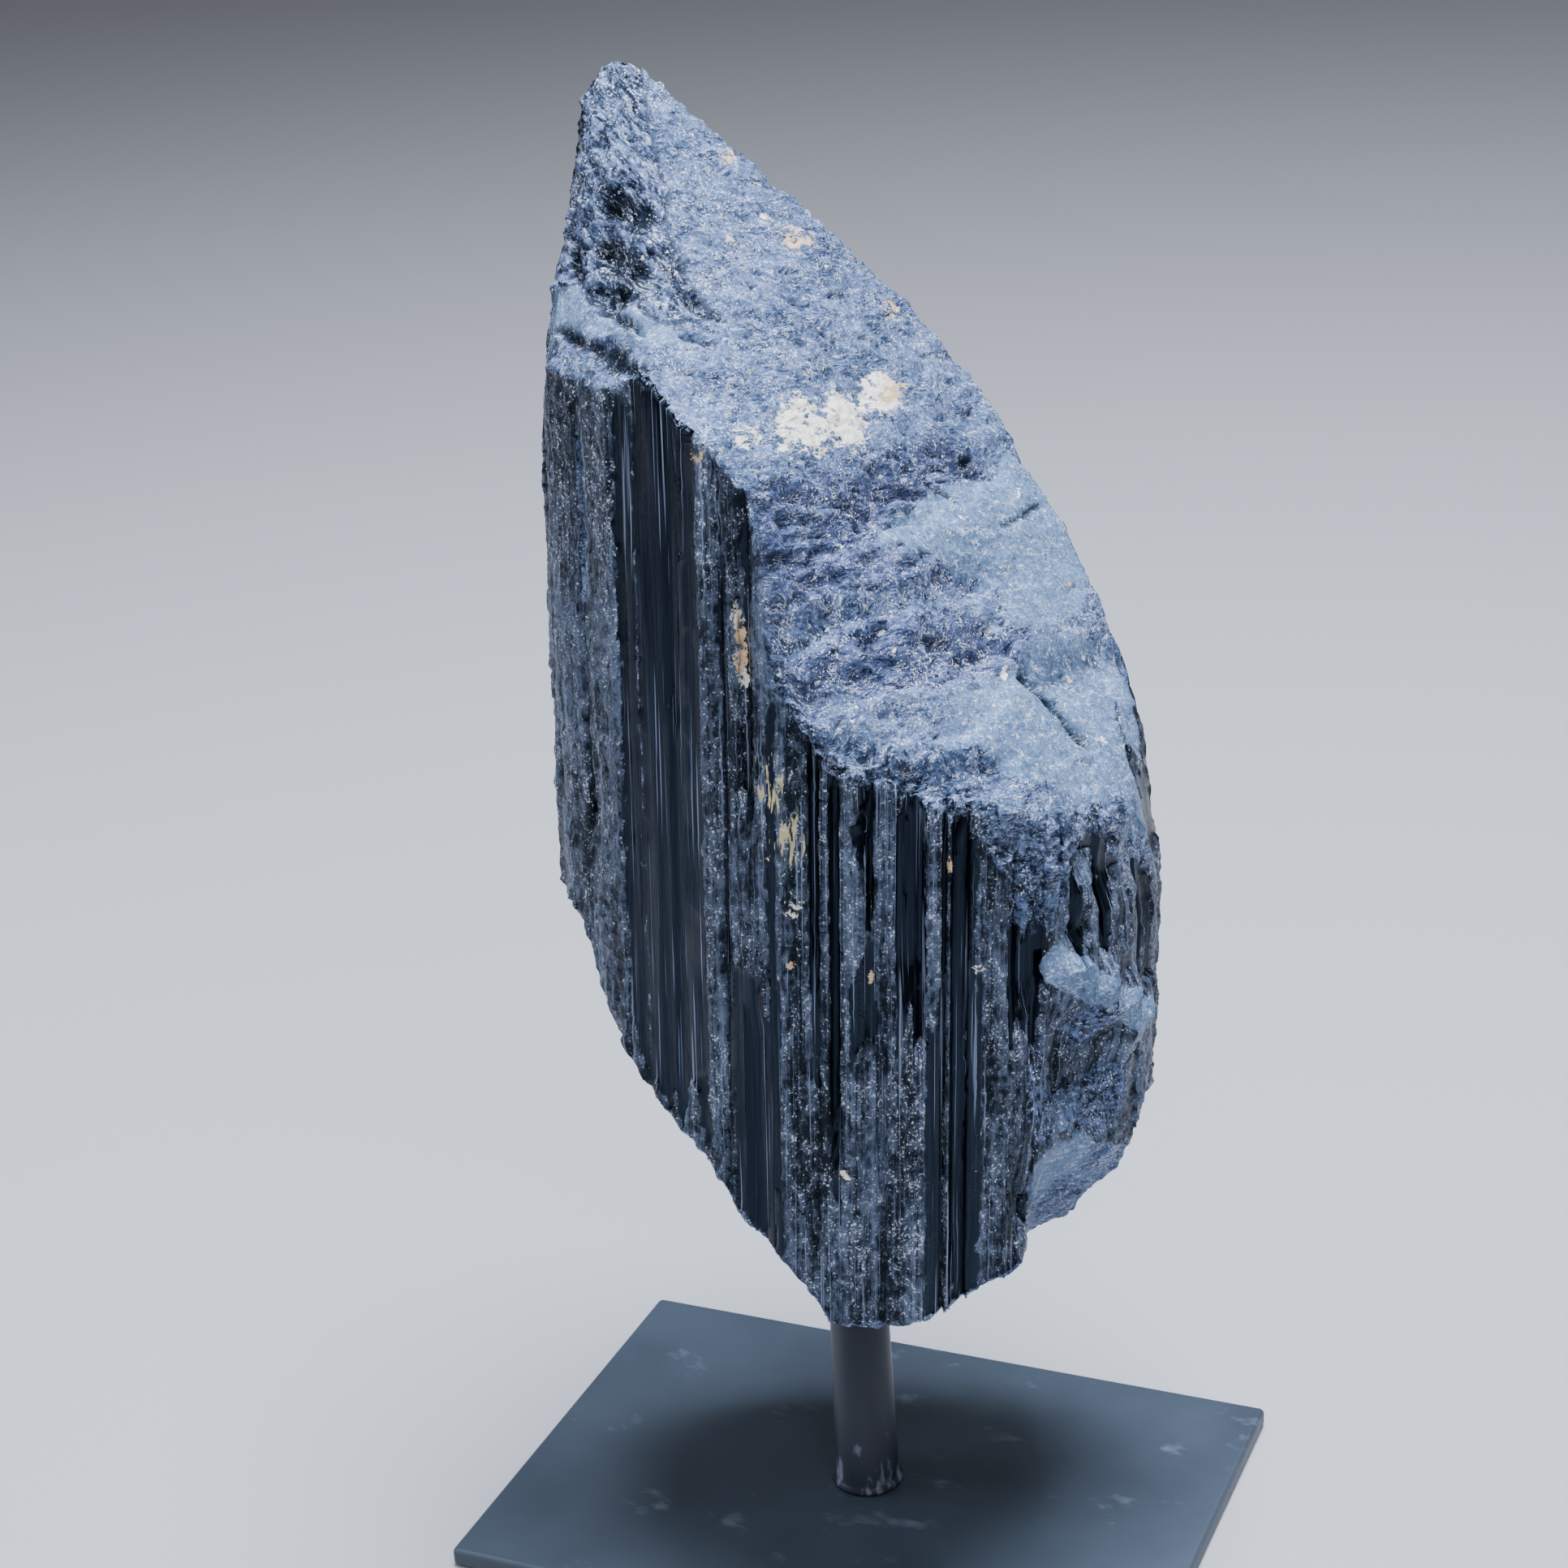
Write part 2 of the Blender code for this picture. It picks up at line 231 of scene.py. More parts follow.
def rightward(line: Line, run: np.ndarray) -> np.ndarray:
    """The directions to the right of a line in plan.

    Args:
        line: The line's corners.
        run: The number of the straight run that each point is nearest to.

    Returns:
        One level unit vector for each point.
    """
    ahead = np.diff(np.array(line), axis=0)
    right = np.column_stack([ahead[:, 1], -ahead[:, 0]]) / np.linalg.norm(ahead, axis=1)[:, None]
    return right[run]


class Cover(Enum):
    """What a spot of the crystal is covered with, as an attribute's name and its channel."""

    FELDSPAR = ("growth", 0)
    RUST = ("growth", 1)
    SERICITE = ("growth", 2)
    FIBROUS = ("grade", 0)
    SMOOTH = ("grade", 1)
    GRANULAR = ("grade", 2)


@dataclass(frozen=True)
class Patch:
    """A rounded patch with its own cover, in the crystal's own frame and in millimetres."""

    cover: Cover
    centre: Point
    reach: Point
    strength: float = 1.0

    def level(self, own: np.ndarray) -> np.ndarray:
        """How much of the cover each point has."""
        far = np.linalg.norm((own - np.array(self.centre)) / np.array(self.reach), axis=1)
        return self.strength * (1.0 - ramp(far, 0.3, 1.4))


@dataclass(frozen=True)
class Band:
    """A strip with its own cover along a line in space, as wide as twice its width."""

    cover: Cover
    line: Line
    width: float

    def level(self, own: np.ndarray) -> np.ndarray:
        """How much of the cover each point has: a half at the strip's edge."""
        gap = against_line(own, self.line)[0]
        return 1.0 - ramp(gap, 0.6 * self.width, 1.4 * self.width)


@dataclass(frozen=True)
class Area:
    """A part of the upper break with its own cover, bounded by an outline in plan."""

    cover: Cover
    outline: Line
    blur: float = 1.6
    above: float = 125.0

    def level(self, own: np.ndarray) -> np.ndarray:
        """How much of the cover each point has.

        Args:
            own: Positions in the crystal's own frame.

        Returns:
            1 inside, 0 outside, and a half on the outline itself.
        """
        closed = (*self.outline, self.outline[0])
        gap = against_line(own[:, :2], closed)[0]
        odd = np.zeros(len(own), dtype=bool)
        for (ax, ay), (bx, by) in zip(closed, closed[1:]):
            reach = ax + (bx - ax) * (own[:, 1] - ay) / (by - ay + 1e-9)
            odd ^= ((ay > own[:, 1]) != (by > own[:, 1])) & (own[:, 0] < reach)
        inside = ramp(np.where(odd, gap, -gap), -self.blur, self.blur)
        return inside * (own[:, 2] > self.above)


@dataclass(frozen=True)
class Ledge:
    """A step in the upper break along a line in plan, low on its right, that dies out downhill."""

    line: Line
    drop: float
    wall: float
    tread: float

    def fall(self, own: np.ndarray, stray: np.ndarray) -> tuple[np.ndarray, np.ndarray]:
        """How far each point sinks, and which points are on the step's wall.

        Args:
            own: Positions in the crystal's own frame.
            stray: How far the step wanders from its line at each point.

        Returns:
            The fall in millimetres, and a mask of the wall for painted shade, strongest at its
            foot.
        """
        plan = own[:, :2]
        gap, way, run = against_line(plan, self.line)
        corner = np.array(self.line)[run]
        side = ((plan - corner) * rightward(self.line, run)).sum(axis=1) + stray
        length = float(np.linalg.norm(np.diff(np.array(self.line), axis=0), axis=1).sum())
        ends = ramp(way, 0.0, 3.0) * ramp(length - way, 0.0, 4.0)
        shape = ramp(side, 0.0, self.wall) * (1.0 - ramp(side, self.wall, self.wall + self.tread))
        near = np.maximum(ends, 0.15) * (gap < self.wall + self.tread + 2.0)
        wall = ramp(side, -0.3, self.wall) * (1.0 - ramp(side, self.wall, self.wall + 1.0))
        return self.drop * shape * near, wall * near


@dataclass(frozen=True)
class Groove:
    """An open crack or furrow along a line in space."""

    line: Line
    width: float
    depth: float
    # how strongly painted shade fills the groove
    dark: float = 0.85

    def cut(self, own: np.ndarray) -> np.ndarray:
        """How deep each point is cut, in millimetres."""
        gap = against_line(own, self.line)[0]
        return self.depth * (1.0 - ramp(gap, 0.25 * self.width, 0.9 * self.width))


@dataclass(frozen=True)
class Column:
    """A column of the front that split clean: its u edges and its lowest and highest z."""

    left: float
    right: float
    low: float
    high: float

    def level(self, u: np.ndarray, z: np.ndarray) -> np.ndarray:
        """How clean each point is.

        Args:
            u: The points' places across the front, with the crystal's lean taken out.
            z: Their heights.

        Returns:
            From 0 to 1, and a half near the column's edges.
        """
        inward = np.minimum(np.minimum(u - self.left, self.right - u) + 0.1,
                            0.35 * np.minimum(z - self.low, self.high - z))
        return ramp(inward, -0.9, 0.9)


@dataclass(frozen=True)
class Spots:
    """Where the points of the crystal's mesh are, one to a row, in millimetres.

    own is in the crystal's own frame; u is its x with the lean taken out; depth is how far a point
    lies inside the section; strand is the way around the section, the height and that depth;
    outward is the level direction out of the nearest side, in the object's frame; facing_up is 0 on
    a wall and 1 on level ground, whether it faces up or down.
    """

    own: np.ndarray
    u: np.ndarray
    depth: np.ndarray
    strand: np.ndarray
    outward: np.ndarray
    facing_up: np.ndarray


# Sockets by number: MapRange reads a value (0) between two limits (1 and 2, or 0 and 1) and gives
# it between two others (3 and 4, or 0 and 1); Mix takes a share (0), and two numbers (2 and 3) or
# two colours (6 and 7), whose mixture is its output 2.


class Space(Enum):
    """Where a pattern is read, as a name and the length of its unit in millimetres."""

    PLACE = ("place", 1000.0)  # the object's own coordinates
    STRAND = ("strand", 1.0)  # around the prism, up it, and in from its skin
    FLOW = ("flow", 1.0)  # along the steps of the break, across them, and up


@dataclass(frozen=True)
class Pattern:
    """Noise with lumps of a real size in millimetres, and finer layers over them.

    A turn is in radians about the upright, and a bend is how far the noise bends itself.
    """

    space: Space
    size: Point
    layers: float = 2.0
    rough: float = 0.5
    bend: float = 0.0
    turn: float = 0.0

    def draw(self, tree: bpy.types.NodeTree) -> Socket:
        """Adds the pattern.

        Args:
            tree: The node tree that gets it.

        Returns:
            Its value, from 0 to 1 and mostly near 0.5.
        """
        name, unit = self.space.value
        if self.space is Space.PLACE:
            at = add_node(tree, "TexCoord", {}, "Object")
        else:
            at = add_node(tree, "Attribute", {}, "Vector", attribute_name=name)
        scaled = add_node(tree, "Mapping", {"Vector": at, "Rotation": (0.0, 0.0, self.turn),
                                            "Scale": tuple(unit / s for s in self.size)})
        return add_node(tree, "TexNoise", {"Vector": scaled, "Scale": 1.0, "Detail": self.layers,
                                           "Roughness": self.rough, "Distortion": self.bend})


@dataclass(frozen=True)
class Skin:
    """One kind of surface: the two colours its texture mixes, where it does so, gloss and grit."""

    dark: str
    light: str
    low: float
    high: float
    rough: float
    grit: float


@dataclass(frozen=True)
class Schorl:
    """Black tourmaline: glassy split columns, frosted ones, and several kinds of broken face.

    Clean splits are black glass. Every broken surface is a mass of tiny facets that scatter light,
    so it looks blue-grey and glitters. The real facets are 0.1 to 0.3 mm, so the specks, chips and
    glints are drawn two or three times as coarse, which is what shows. The glints and the bright
    threads up the columns are painted highlight, and the dark clefts, step walls and hollows are
    painted shade.
    """

    frosted: Skin = Skin("#05070a", "#647086", 0.42, 0.63, 0.34, 0.85)
    glassy: Skin = Skin("#020304", "#1d242f", 0.47, 0.72, 0.14, 0.06)
    speckled: Skin = Skin("#384763", "#7488ad", 0.36, 0.60, 0.44, 0.95)
    fibrous: Skin = Skin("#131b33", "#7483b0", 0.38, 0.62, 0.44, 0.95)
    smooth: Skin = Skin("#435770", "#728aa9", 0.34, 0.62, 0.50, 0.45)
    granular: Skin = Skin("#04070c", "#7387b0", 0.44, 0.58, 0.36, 1.0)
    # painted shade for grooves, hollows of the breaks, walls of the steps and gaps between chips
    cleft_shade: str = "#04060a"
    crack: str = "#141c33"
    # painted highlight along thin threads up the columns
    thread_highlight: str = "#909cb6"
    gleam: str = "#a4c0e8"
    # painted highlight for single glints and for glinting hairs on the breaks
    glint_highlight: str = "#f4f8ff"
    feldspar: str = "#fbf4e4"
    rust: str = "#e2c096"
    sericite: str = "#c9bf92"
    ior: float = 1.62
    reflectance: float = 0.24
    bare: float = 0.7  # roughness of the other minerals
    # grains, wide drifts of tone, and spots of painted glint
    specks: Pattern = Pattern(Space.PLACE, (0.9, 0.9, 0.9), 5.0, 0.78)
    clouds: Pattern = Pattern(Space.PLACE, (9.0, 9.0, 9.0), 4.0, 0.6)
    glints: Pattern = Pattern(Space.PLACE, (0.42, 0.42, 0.42), 2.0, 0.6)
    # chips, growth lines, and threads of painted highlight with painted shade between them, that
    # run up the columns
    chips: Pattern = Pattern(Space.STRAND, (1.2, 2.4, 2.2), 5.0, 0.70, 0.4)
    drifts: Pattern = Pattern(Space.STRAND, (5.0, 38.0, 14.0), 2.0, 0.5)
    striae: Pattern = Pattern(Space.STRAND, (0.45, 22.0, 9.0), 4.0, 0.65)
    threads: Pattern = Pattern(Space.STRAND, (0.42, 45.0, 9.0), 2.0, 0.5)
    jags: Pattern = Pattern(Space.STRAND, (0.9, 2.6, 2.0), 3.0, 0.6)
    # crumbs, fibres, cracks and hairs of painted glint that follow the steps of the break
    crumbs: Pattern = Pattern(Space.FLOW, (2.4, 1.2, 1.1), 5.0, 0.70)
    fibres: Pattern = Pattern(Space.FLOW, (4.2, 1.0, 0.8), 5.0, 0.7, 1.3)
    cracks: Pattern = Pattern(Space.FLOW, (6.5, 1.6, 1.4), 4.0, 0.6, 1.2)
    zones: Pattern = Pattern(Space.FLOW, (13.0, 5.0, 4.5), 2.0, 0.5)
    glint_hairs: Pattern = Pattern(Space.FLOW, (2.6, 1.2, 1.2), 3.0, 0.6, 1.0)
    # what breaks up the other minerals
    pits: Pattern = Pattern(Space.FLOW, (2.4, 1.3, 1.3), 5.0, 0.72)
    straws: Pattern = Pattern(Space.STRAND, (0.55, 4.5, 3.0), 3.0, 0.6)
    flakes: Pattern = Pattern(Space.PLACE, (1.7, 1.7, 1.7), 3.0, 0.6)

    def build(self) -> bpy.types.Material:
        """Builds the mineral's material; its masks come from the mesh's own attributes.

        Returns:
            The material.
        """
        material, tree, shader = new_material("schorl")
        add = partial(add_node, tree)
        marks = self._marks(tree)
        seen = {name: getattr(self, name).draw(tree)
                for name in ("specks", "clouds", "chips", "striae", "crumbs")}
        colour, rough, grit = self._coats(tree, seen, marks)
        minerals = self._minerals(tree, marks)
        for share, tint in self._lines(tree, seen, marks, grit) + minerals:
            colour = add("Mix", {0: share, 6: colour, 7: linear(tint)}, 2, data_type="RGBA")
        tree.links.new(colour, shader.inputs["Base Color"])

        cover = minerals[0][0]
        for share, _ in minerals[1:]:
            cover = add("Math", {0: cover, 1: share}, operation="MAXIMUM")
        uneven = add("MapRange", {0: seen["specks"], 1: LOW, 2: HIGH, 3: -0.10, 4: 0.10})
        rough = add("Math", {0: rough, 1: uneven}, operation="ADD")
        rough = add("Mix", {0: cover, 2: rough, 3: self.bare})
        tree.links.new(rough, shader.inputs["Roughness"])
        shader.inputs["IOR"].default_value = self.ior
        shader.inputs["Specular IOR Level"].default_value = self.reflectance
        shader.inputs["Specular Tint"].default_value = linear(self.gleam)

        # relief too fine for the mesh
        striae = add("Bump", {"Strength": 0.8, "Distance": 0.18 * MM, "Height": seen["striae"]})
        height = add("Math", {0: seen["specks"], 1: seen["crumbs"]}, operation="ADD")
        grains = add("Bump", {"Strength": grit, "Distance": 0.45 * MM, "Height": height,
                              "Normal": striae})
        tree.links.new(grains, shader.inputs["Normal"])
        return material

    def _marks(self, tree: bpy.types.NodeTree) -> dict[str, Socket]:
        """Reads the mesh's soft marks, and gives most of them a crisp and jagged edge.

        Args:
            tree: The node tree.

        Returns:
            The name of each mark to its mask, from 0 to 1.
        """
        add = partial(add_node, tree)
        jag = add("MapRange", {0: self.jags.draw(tree), 1: LOW, 2: HIGH, 3: -0.22, 4: 0.22})
        marks = {}
        # each channel's name, and how jagged its edge is: 0 leaves it soft
        for attribute, channels in (
                # the third dress channel is the mask of painted shade in the clefts
                ("dress", (("broken", 0.5), ("clean", 1.0), ("cleft_shade", 0.0))),
                ("grade", (("fibrous", 1.0), ("smooth", 1.0), ("granular", 1.5))),
                ("growth", (("feldspar", 0.0), ("rust", 0.0), ("sericite", 0.0)))):
            values = add("Attribute", {}, "Color", attribute_name=attribute)
            parts = add("SeparateColor", {0: values}).node.outputs
            for (name, share), soft in zip(channels, parts):
                marks[name] = soft
                if share:
                    moved = add("Math", {0: jag, 1: share, 2: soft}, operation="MULTIPLY_ADD")
                    marks[name] = add("MapRange", {0: moved, 1: 0.44, 2: 0.56})
        return marks

    def _coats(self, tree: bpy.types.NodeTree, seen: dict[str, Socket],
               marks: dict[str, Socket]) -> tuple[Socket, Socket, Socket]:
        """Lays the kinds of surface over each other, from frosted columns to granular breaks.

        Args:
            tree: The node tree.
            seen: The patterns already drawn.
            marks: The masks.

        Returns:
            The colour, the roughness and the strength of the grains' relief.
        """
        add = partial(add_node, tree)
        scored = add("Math", {0: seen["striae"], 1: 0.34}, operation="MULTIPLY")
        scratchy = add("Math", {0: seen["chips"], 1: 0.66, 2: scored}, operation="MULTIPLY_ADD")
        for wide, swing in ((seen["clouds"], 0.045), (self.drifts.draw(tree), 0.085)):
            drift = add("MapRange", {0: wide, 1: LOW, 2: HIGH, 3: -swing, 4: swing})
            scratchy = add("Math", {0: scratchy, 1: drift}, operation="ADD")
        drift = add("MapRange", {0: seen["clouds"], 1: LOW, 2: HIGH, 3: -0.06, 4: 0.06})
        mottled = add("Math", {0: seen["specks"], 1: drift}, operation="ADD")
        both = add("Math", {0: seen["crumbs"], 1: seen["specks"]}, operation="ADD")
        gritty = add("Math", {0: both, 1: 0.5}, operation="MULTIPLY")
        colour, rough, grit = None, None, None
        fibres = self.fibres.draw(tree)
        for skin, texture, mark in (
                (self.frosted, scratchy, ""), (self.glassy, seen["striae"], "clean"),
                (self.speckled, mottled, "broken"), (self.fibrous, fibres, "fibrous"),
                (self.smooth, mottled, "smooth"), (self.granular, gritty, "granular")):
            share = add("MapRange", {0: texture, 1: skin.low, 2: skin.high})
            tone = add("Mix", {0: share, 6: linear(skin.dark), 7: linear(skin.light)}, 2,
                       data_type="RGBA")
            if not mark:
                colour, rough, grit = tone, skin.rough, skin.grit
                continue
            colour = add("Mix", {0: marks[mark], 6: colour, 7: tone}, 2, data_type="RGBA")
            rough = add("Mix", {0: marks[mark], 2: rough, 3: skin.rough})
            grit = add("Mix", {0: marks[mark], 2: grit, 3: skin.grit})
        return colour, rough, grit

    def _lines(self, tree: bpy.types.NodeTree, seen: dict[str, Socket], marks: dict[str, Socket],
               grit: Socket) -> list[tuple[Socket, str]]:
        """Draws painted shade in clefts, cracks along the steps, threads of painted highlight up
        the columns with painted shade between them, and single painted glints.

        Args:
            tree: The node tree.
            seen: The patterns already drawn.
            marks: The masks.
            grit: How strong the grains' relief is, which is also how often painted glints show.

        Returns:
            Each one's share and colour, in the order that they lie over each other.
        """
        add = partial(add_node, tree)
        broken = marks["broken"]
        zones = add("MapRange", {0: self.zones.draw(tree), 1: 0.42, 2: 0.52})
        cracks = self._ridge(tree, self.cracks, 0.05)
        cracks = add("Math", {0: cracks, 1: zones}, operation="MULTIPLY")
        faint = add("Mix", {0: marks["smooth"], 2: broken, 3: 0.3})
        cracks = add("Math", {0: cracks, 1: faint}, operation="MULTIPLY")

        column = add("Math", {0: 1.0, 1: broken}, operation="SUBTRACT")
        threads = self.threads.draw(tree)
        # dark streaks between the threads take the painted cleft shade, and the threads a painted
        # highlight
        gaps = add("MapRange", {0: threads, 1: 0.40, 2: 0.35, 4: 0.85})
        gaps = add("Math", {0: gaps, 1: column}, operation="MULTIPLY")
        threads = add("MapRange", {0: threads, 1: 0.62, 2: 0.68, 4: 0.6})
        threads = add("Math", {0: threads, 1: column}, operation="MULTIPLY")

        glint_hairs = self._ridge(tree, self.glint_hairs, 0.035)
        raised = add("MapRange", {0: seen["crumbs"], 1: 0.48, 2: 0.60, 4: 0.8})
        glint_hairs = add("Math", {0: glint_hairs, 1: raised}, operation="MULTIPLY")
        glint_hairs = add("Math", {0: glint_hairs, 1: broken}, operation="MULTIPLY")
        # painted glints gather in the paler drifts and on the chips, and show where the grit is
        # strong
        flash = self.glints.draw(tree)
        for name, low, high, least, most in (("clouds", LOW, HIGH, -0.08, 0.05),
                                             ("chips", 0.38, 0.62, -0.07, 0.03)):
            gather = add("MapRange", {0: seen[name], 1: low, 2: high, 3: least, 4: most})
            flash = add("Math", {0: flash, 1: gather}, operation="ADD")
        flash = add("MapRange", {0: flash, 1: 0.59, 2: 0.66})
        often = add("MapRange", {0: grit, 1: 0.10, 2: 1.0, 4: 0.85})
        flash = add("Math", {0: flash, 1: often}, operation="MULTIPLY")
        flash = add("Math", {0: flash, 1: glint_hairs}, operation="MAXIMUM")
        return [(marks["cleft_shade"], self.cleft_shade), (cracks, self.crack), (gaps, self.cleft_shade),
                (threads, self.thread_highlight), (flash, self.glint_highlight)]

    def _minerals(self, tree: bpy.types.NodeTree,
                  marks: dict[str, Socket]) -> list[tuple[Socket, str]]:
        """Scatters the other minerals, broken up by the grain of the surface under them.

        Args:
            tree: The node tree.
            marks: The masks.

        Returns:
            Each one's share and colour, in the order that they lie over each other.
        """
        add = partial(add_node, tree)
        flakes = add("MapRange", {0: self.flakes.draw(tree), 1: 0.70, 2: 0.72})
        flakes = add("Math", {0: flakes, 1: marks["broken"]}, operation="MULTIPLY")
        pits = add("MapRange", {0: self.pits.draw(tree), 1: 0.25, 2: 0.75})
        straws = add("MapRange", {0: self.straws.draw(tree), 1: LOW, 2: HIGH})
        layers = [(flakes, self.feldspar)]
        for name, tint, holes in (("feldspar", self.feldspar, pits), ("rust", self.rust, pits),
                                  ("sericite", self.sericite, straws)):
            patch = add("Math", {0: marks[name], 1: holes}, operation="ADD")
            layers.append((add("MapRange", {0: patch, 1: 1.0, 2: 1.08}), tint))
        return layers

    def _ridge(self, tree: bpy.types.NodeTree, pattern: Pattern, width: float) -> Socket:
        """Draws thin lines where a pattern passes its middle value.

        Args:
            tree: The node tree.
            pattern: The pattern.
            width: How far from its middle value a line fades out.

        Returns:
            The lines, 1 along their middles.
        """
        off = add_node(tree, "Math", {0: pattern.draw(tree), 1: -0.5}, operation="ADD")
        off = add_node(tree, "Math", {0: off}, operation="ABSOLUTE")
        return add_node(tree, "MapRange", {0: off, 2: width, 3: 1.0, 4: 0.0})


@dataclass(frozen=True)
class PowderCoat:
    """Matte black powder coat baked on steel: a fine orange-peel skin with a few dusty scuffs."""

    coat: str = "#2b343e"
    worn: str = "#3a4550"
    dust: str = "#8593a6"
    peel: Pattern = Pattern(Space.PLACE, (0.6, 0.6, 0.6))
    haze: Pattern = Pattern(Space.PLACE, (45.45, 45.45, 45.45), 4.0, 0.6)
    scuffs: Pattern = Pattern(Space.PLACE, (13.33, 8.33, 12.5), 5.0, 0.62, turn=0.9)

    def build(self) -> bpy.types.Material:
        """Builds the plate's material.

        Returns:
            The material.
        """
        material, tree, shader = new_material("powder_coat")
        add = partial(add_node, tree)
        haze = self.haze.draw(tree)
        worn = add("MapRange", {0: haze, 1: 0.35, 2: 0.7, 4: 0.8})
        marks = add("MapRange", {0: self.scuffs.draw(tree), 1: 0.62, 2: 0.78, 4: 0.35})
        colour = add("Mix", {0: worn, 6: linear(self.coat), 7: linear(self.worn)}, 2,
                     data_type="RGBA")
        colour = add("Mix", {0: marks, 6: colour, 7: linear(self.dust)}, 2, data_type="RGBA")
        tree.links.new(colour, shader.inputs["Base Color"])
        tree.links.new(add("MapRange", {0: haze, 3: 0.42, 4: 0.62}), shader.inputs["Roughness"])
        peel = self.peel.draw(tree)
        skin = add("Bump", {"Strength": 0.35, "Distance": 0.06 * MM, "Height": peel})
        tree.links.new(skin, shader.inputs["Normal"])
        return material


@dataclass(frozen=True)
class SatinPaint:
    """Satin black paint brushed up and down a steel post, rubbed through to grey near its foot."""

    paint: str = "#1f2531"
    rub: str = "#7c8494"
    strokes: Pattern = Pattern(Space.PLACE, (1.11, 1.11, 16.67), 3.0)
    chips: Pattern = Pattern(Space.PLACE, (3.03, 3.03, 8.33), 4.0)
    rubbed_to: float = 22.0  # height in millimetres above which few chips are left
    rubbed_from: float = 4.0

    def build(self) -> bpy.types.Material:
        """Builds the post's material.

        Returns:
            The material.
        """
        material, tree, shader = new_material("satin_paint")
        add = partial(add_node, tree)
        strokes = self.strokes.draw(tree)
        height = add("SeparateXYZ", {0: add("TexCoord", {}, "Object")}, "Z")
        low = add("MapRange", {0: height, 1: self.rubbed_to * MM, 2: self.rubbed_from * MM,
                               3: -0.1, 4: 0.05})
        chips = add("Math", {0: self.chips.draw(tree), 1: low}, operation="ADD")
        chips = add("MapRange", {0: chips, 1: 0.60, 2: 0.68, 4: 0.7})
        colour = add("Mix", {0: chips, 6: linear(self.paint), 7: linear(self.rub)}, 2,
                     data_type="RGBA")
        tree.links.new(colour, shader.inputs["Base Color"])
        tree.links.new(add("MapRange", {0: strokes, 3: 0.28, 4: 0.5}), shader.inputs["Roughness"])
        skin = add("Bump", {"Strength": 0.3, "Distance": 0.08 * MM, "Height": strokes})
        tree.links.new(skin, shader.inputs["Normal"])
        return material


